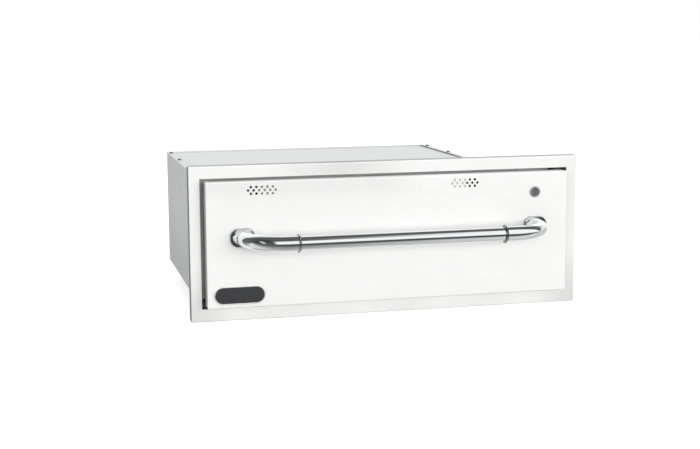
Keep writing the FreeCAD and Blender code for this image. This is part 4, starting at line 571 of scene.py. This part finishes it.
def dress_inside():
    """The cavity, the tub and its slides, the wool and the heater."""
    dress(rolled_steel("liner_sheet", (0.76, 0.76, 0.75), 0.24),
          "cavity_liner", "drawer_tub", "food_pan")
    dress(brushed_steel("plate_steel", (0.55, 0.55, 0.545), 0.6, roughness=0.30), "front_liner")
    dress(plated("wire_chrome", (0.85, 0.855, 0.86), 0.09, speck=0.05), "wire_rack")
    dress(plated("zinc_plate", (0.70, 0.71, 0.72), 0.28, speck=0.12), *SLIDE_MEMBERS,
          "chassis_rivets", "tub_rivets", "cover_screws", "handle_bolts", "element_brackets")
    dress(plated("bright_balls", (0.78, 0.78, 0.77), 0.10), "ball_cages_outer", "ball_cages_inner")
    # painted shade: the shutter guides are made black so that the vent holes read dark
    dress(moulded("black_painted_shade", (0.012, 0.012, 0.012), 0.5), "shutter_guides")
    dress(glass_wool("wool", (0.86, 0.80, 0.58), (0.62, 0.52, 0.30)),
          "insulation_wrap", "insulation_slabs")
    # painted shade: the front insulation is made nearly black so that the vent holes read dark
    dress(glass_wool("wool_painted_shade", (0.018, 0.018, 0.020), (0.008, 0.008, 0.009)), "front_insulation")
    dress(plated("sheath", (0.24, 0.235, 0.225), 0.42, speck=0.35), "heating_element")
    dress(moulded("steatite", (0.83, 0.80, 0.73), 0.42, grain=900, depth=0.03 * MM),
          "element_bushings", "terminal_block")


def dress_controls():
    """The thermostat, the wiring and the lamp."""
    dress(moulded("phenolic", (0.075, 0.070, 0.066), 0.38), "thermostat", "limit_switch")
    dress(plated("brass", (0.80, 0.62, 0.30), 0.24, speck=0.15), "thermostat_shaft")
    dress(moulded("knob_plastic", (0.022, 0.022, 0.023), 0.33, grain=1200), "thermostat_knob")
    dress(moulded("dial_ground", (0.60, 0.60, 0.59), 0.45, grain=900, depth=0.01 * MM), "dial_plate")
    dress(plated("copper", (0.80, 0.47, 0.33), 0.26, speck=0.25), "thermostat_bulb")
    dress(moulded("sleeve", (0.74, 0.72, 0.66), 0.55, grain=1500), "lead_wires")
    dress(moulded("nylon", (0.035, 0.035, 0.037), 0.42), "cable_gland")
    dress(moulded("lamp_case", (0.62, 0.61, 0.57), 0.40), "pilot_lamp")
    dress(clear("lamp_lens", (0.75, 0.06, 0.03), 0.10, 1.49), "pilot_lens")


# ---------------------------------------------------------------- printed dial

DIAL_MARKS = 9                # numbers 1 to 9, with 0 at the start
DIAL_SWEEP = math.radians(270)
DIAL_START = math.radians(-135)
INK_LIFT = 0.03 * MM
DIGIT_HEIGHT = 3.4 * MM
FONT_SIZE = DIGIT_HEIGHT * 1.4    # a digit is shorter than its font's size
DIGIT_RING = 0.84             # of the dial's radius
TICK_RING = (0.66, 0.71)      # the ticks' two ends, the same way
TICK_WIDTH = 0.5 * MM


def merged(name, parts, material):
    """One mesh piece from (points, faces) parts."""
    points, faces = [], []
    for part_points, part_faces in parts:
        faces += [[index + len(points) for index in face] for face in part_faces]
        points += part_points
    mesh = bpy.data.meshes.new(name)
    mesh.from_pydata(points, [], faces)
    mesh.materials.append(material)
    piece = bpy.data.objects.new(name, mesh)
    bpy.context.scene.collection.objects.link(piece)
    return piece


def digit_shape(text, centre):
    """A flat digit that stands upright in the XZ plane."""
    curve = bpy.data.curves.new("digit", "FONT")
    curve.body = text
    curve.size = FONT_SIZE
    curve.align_x = "CENTER"
    curve.align_y = "CENTER"
    holder = bpy.data.objects.new("digit", curve)
    bpy.context.scene.collection.objects.link(holder)
    graph = bpy.context.evaluated_depsgraph_get()
    mesh = bpy.data.meshes.new_from_object(holder.evaluated_get(graph))
    points = [(centre.x + v.co.x, centre.y, centre.z + v.co.y) for v in mesh.vertices]
    faces = [list(face.vertices) for face in mesh.polygons]
    bpy.data.meshes.remove(mesh)
    bpy.data.objects.remove(holder)
    bpy.data.curves.remove(curve)
    return points, faces


def tick_shape(centre, radius, out):
    """A flat tick across the tick ring, in one direction from the dial's centre."""
    side = Vector((out.z, 0, -out.x)) * TICK_WIDTH / 2
    inner, outer = [centre + out * radius * share for share in TICK_RING]
    return [tuple(p) for p in (inner - side, inner + side, outer + side, outer - side)], [(0, 1, 2, 3)]


def print_dial():
    """Plain numbers and ticks round the knob."""
    low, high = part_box("dial_plate")
    radius = (high.x - low.x) / 2
    centre = (low + high) / 2
    centre.y = low.y - INK_LIFT
    parts = []
    for mark in range(DIAL_MARKS + 1):
        angle = DIAL_START + DIAL_SWEEP * mark / DIAL_MARKS
        out = Vector((math.sin(angle), 0, math.cos(angle)))
        parts.append(tick_shape(centre, radius, out))
        parts.append(digit_shape(str(mark), centre + out * radius * DIGIT_RING))
    ink = moulded("dial_ink", (0.03, 0.03, 0.032), 0.5, grain=900, depth=0.01 * MM)
    piece = merged("dial_marks", parts, ink)
    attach(piece, "chassis")


# ---------------------------------------------------------------- the scene


bpy.context.scene.view_settings.view_transform = "Standard"
make_camera()
make_studio()
dress_front()
dress_body()
dress_inside()
dress_controls()
print_dial()
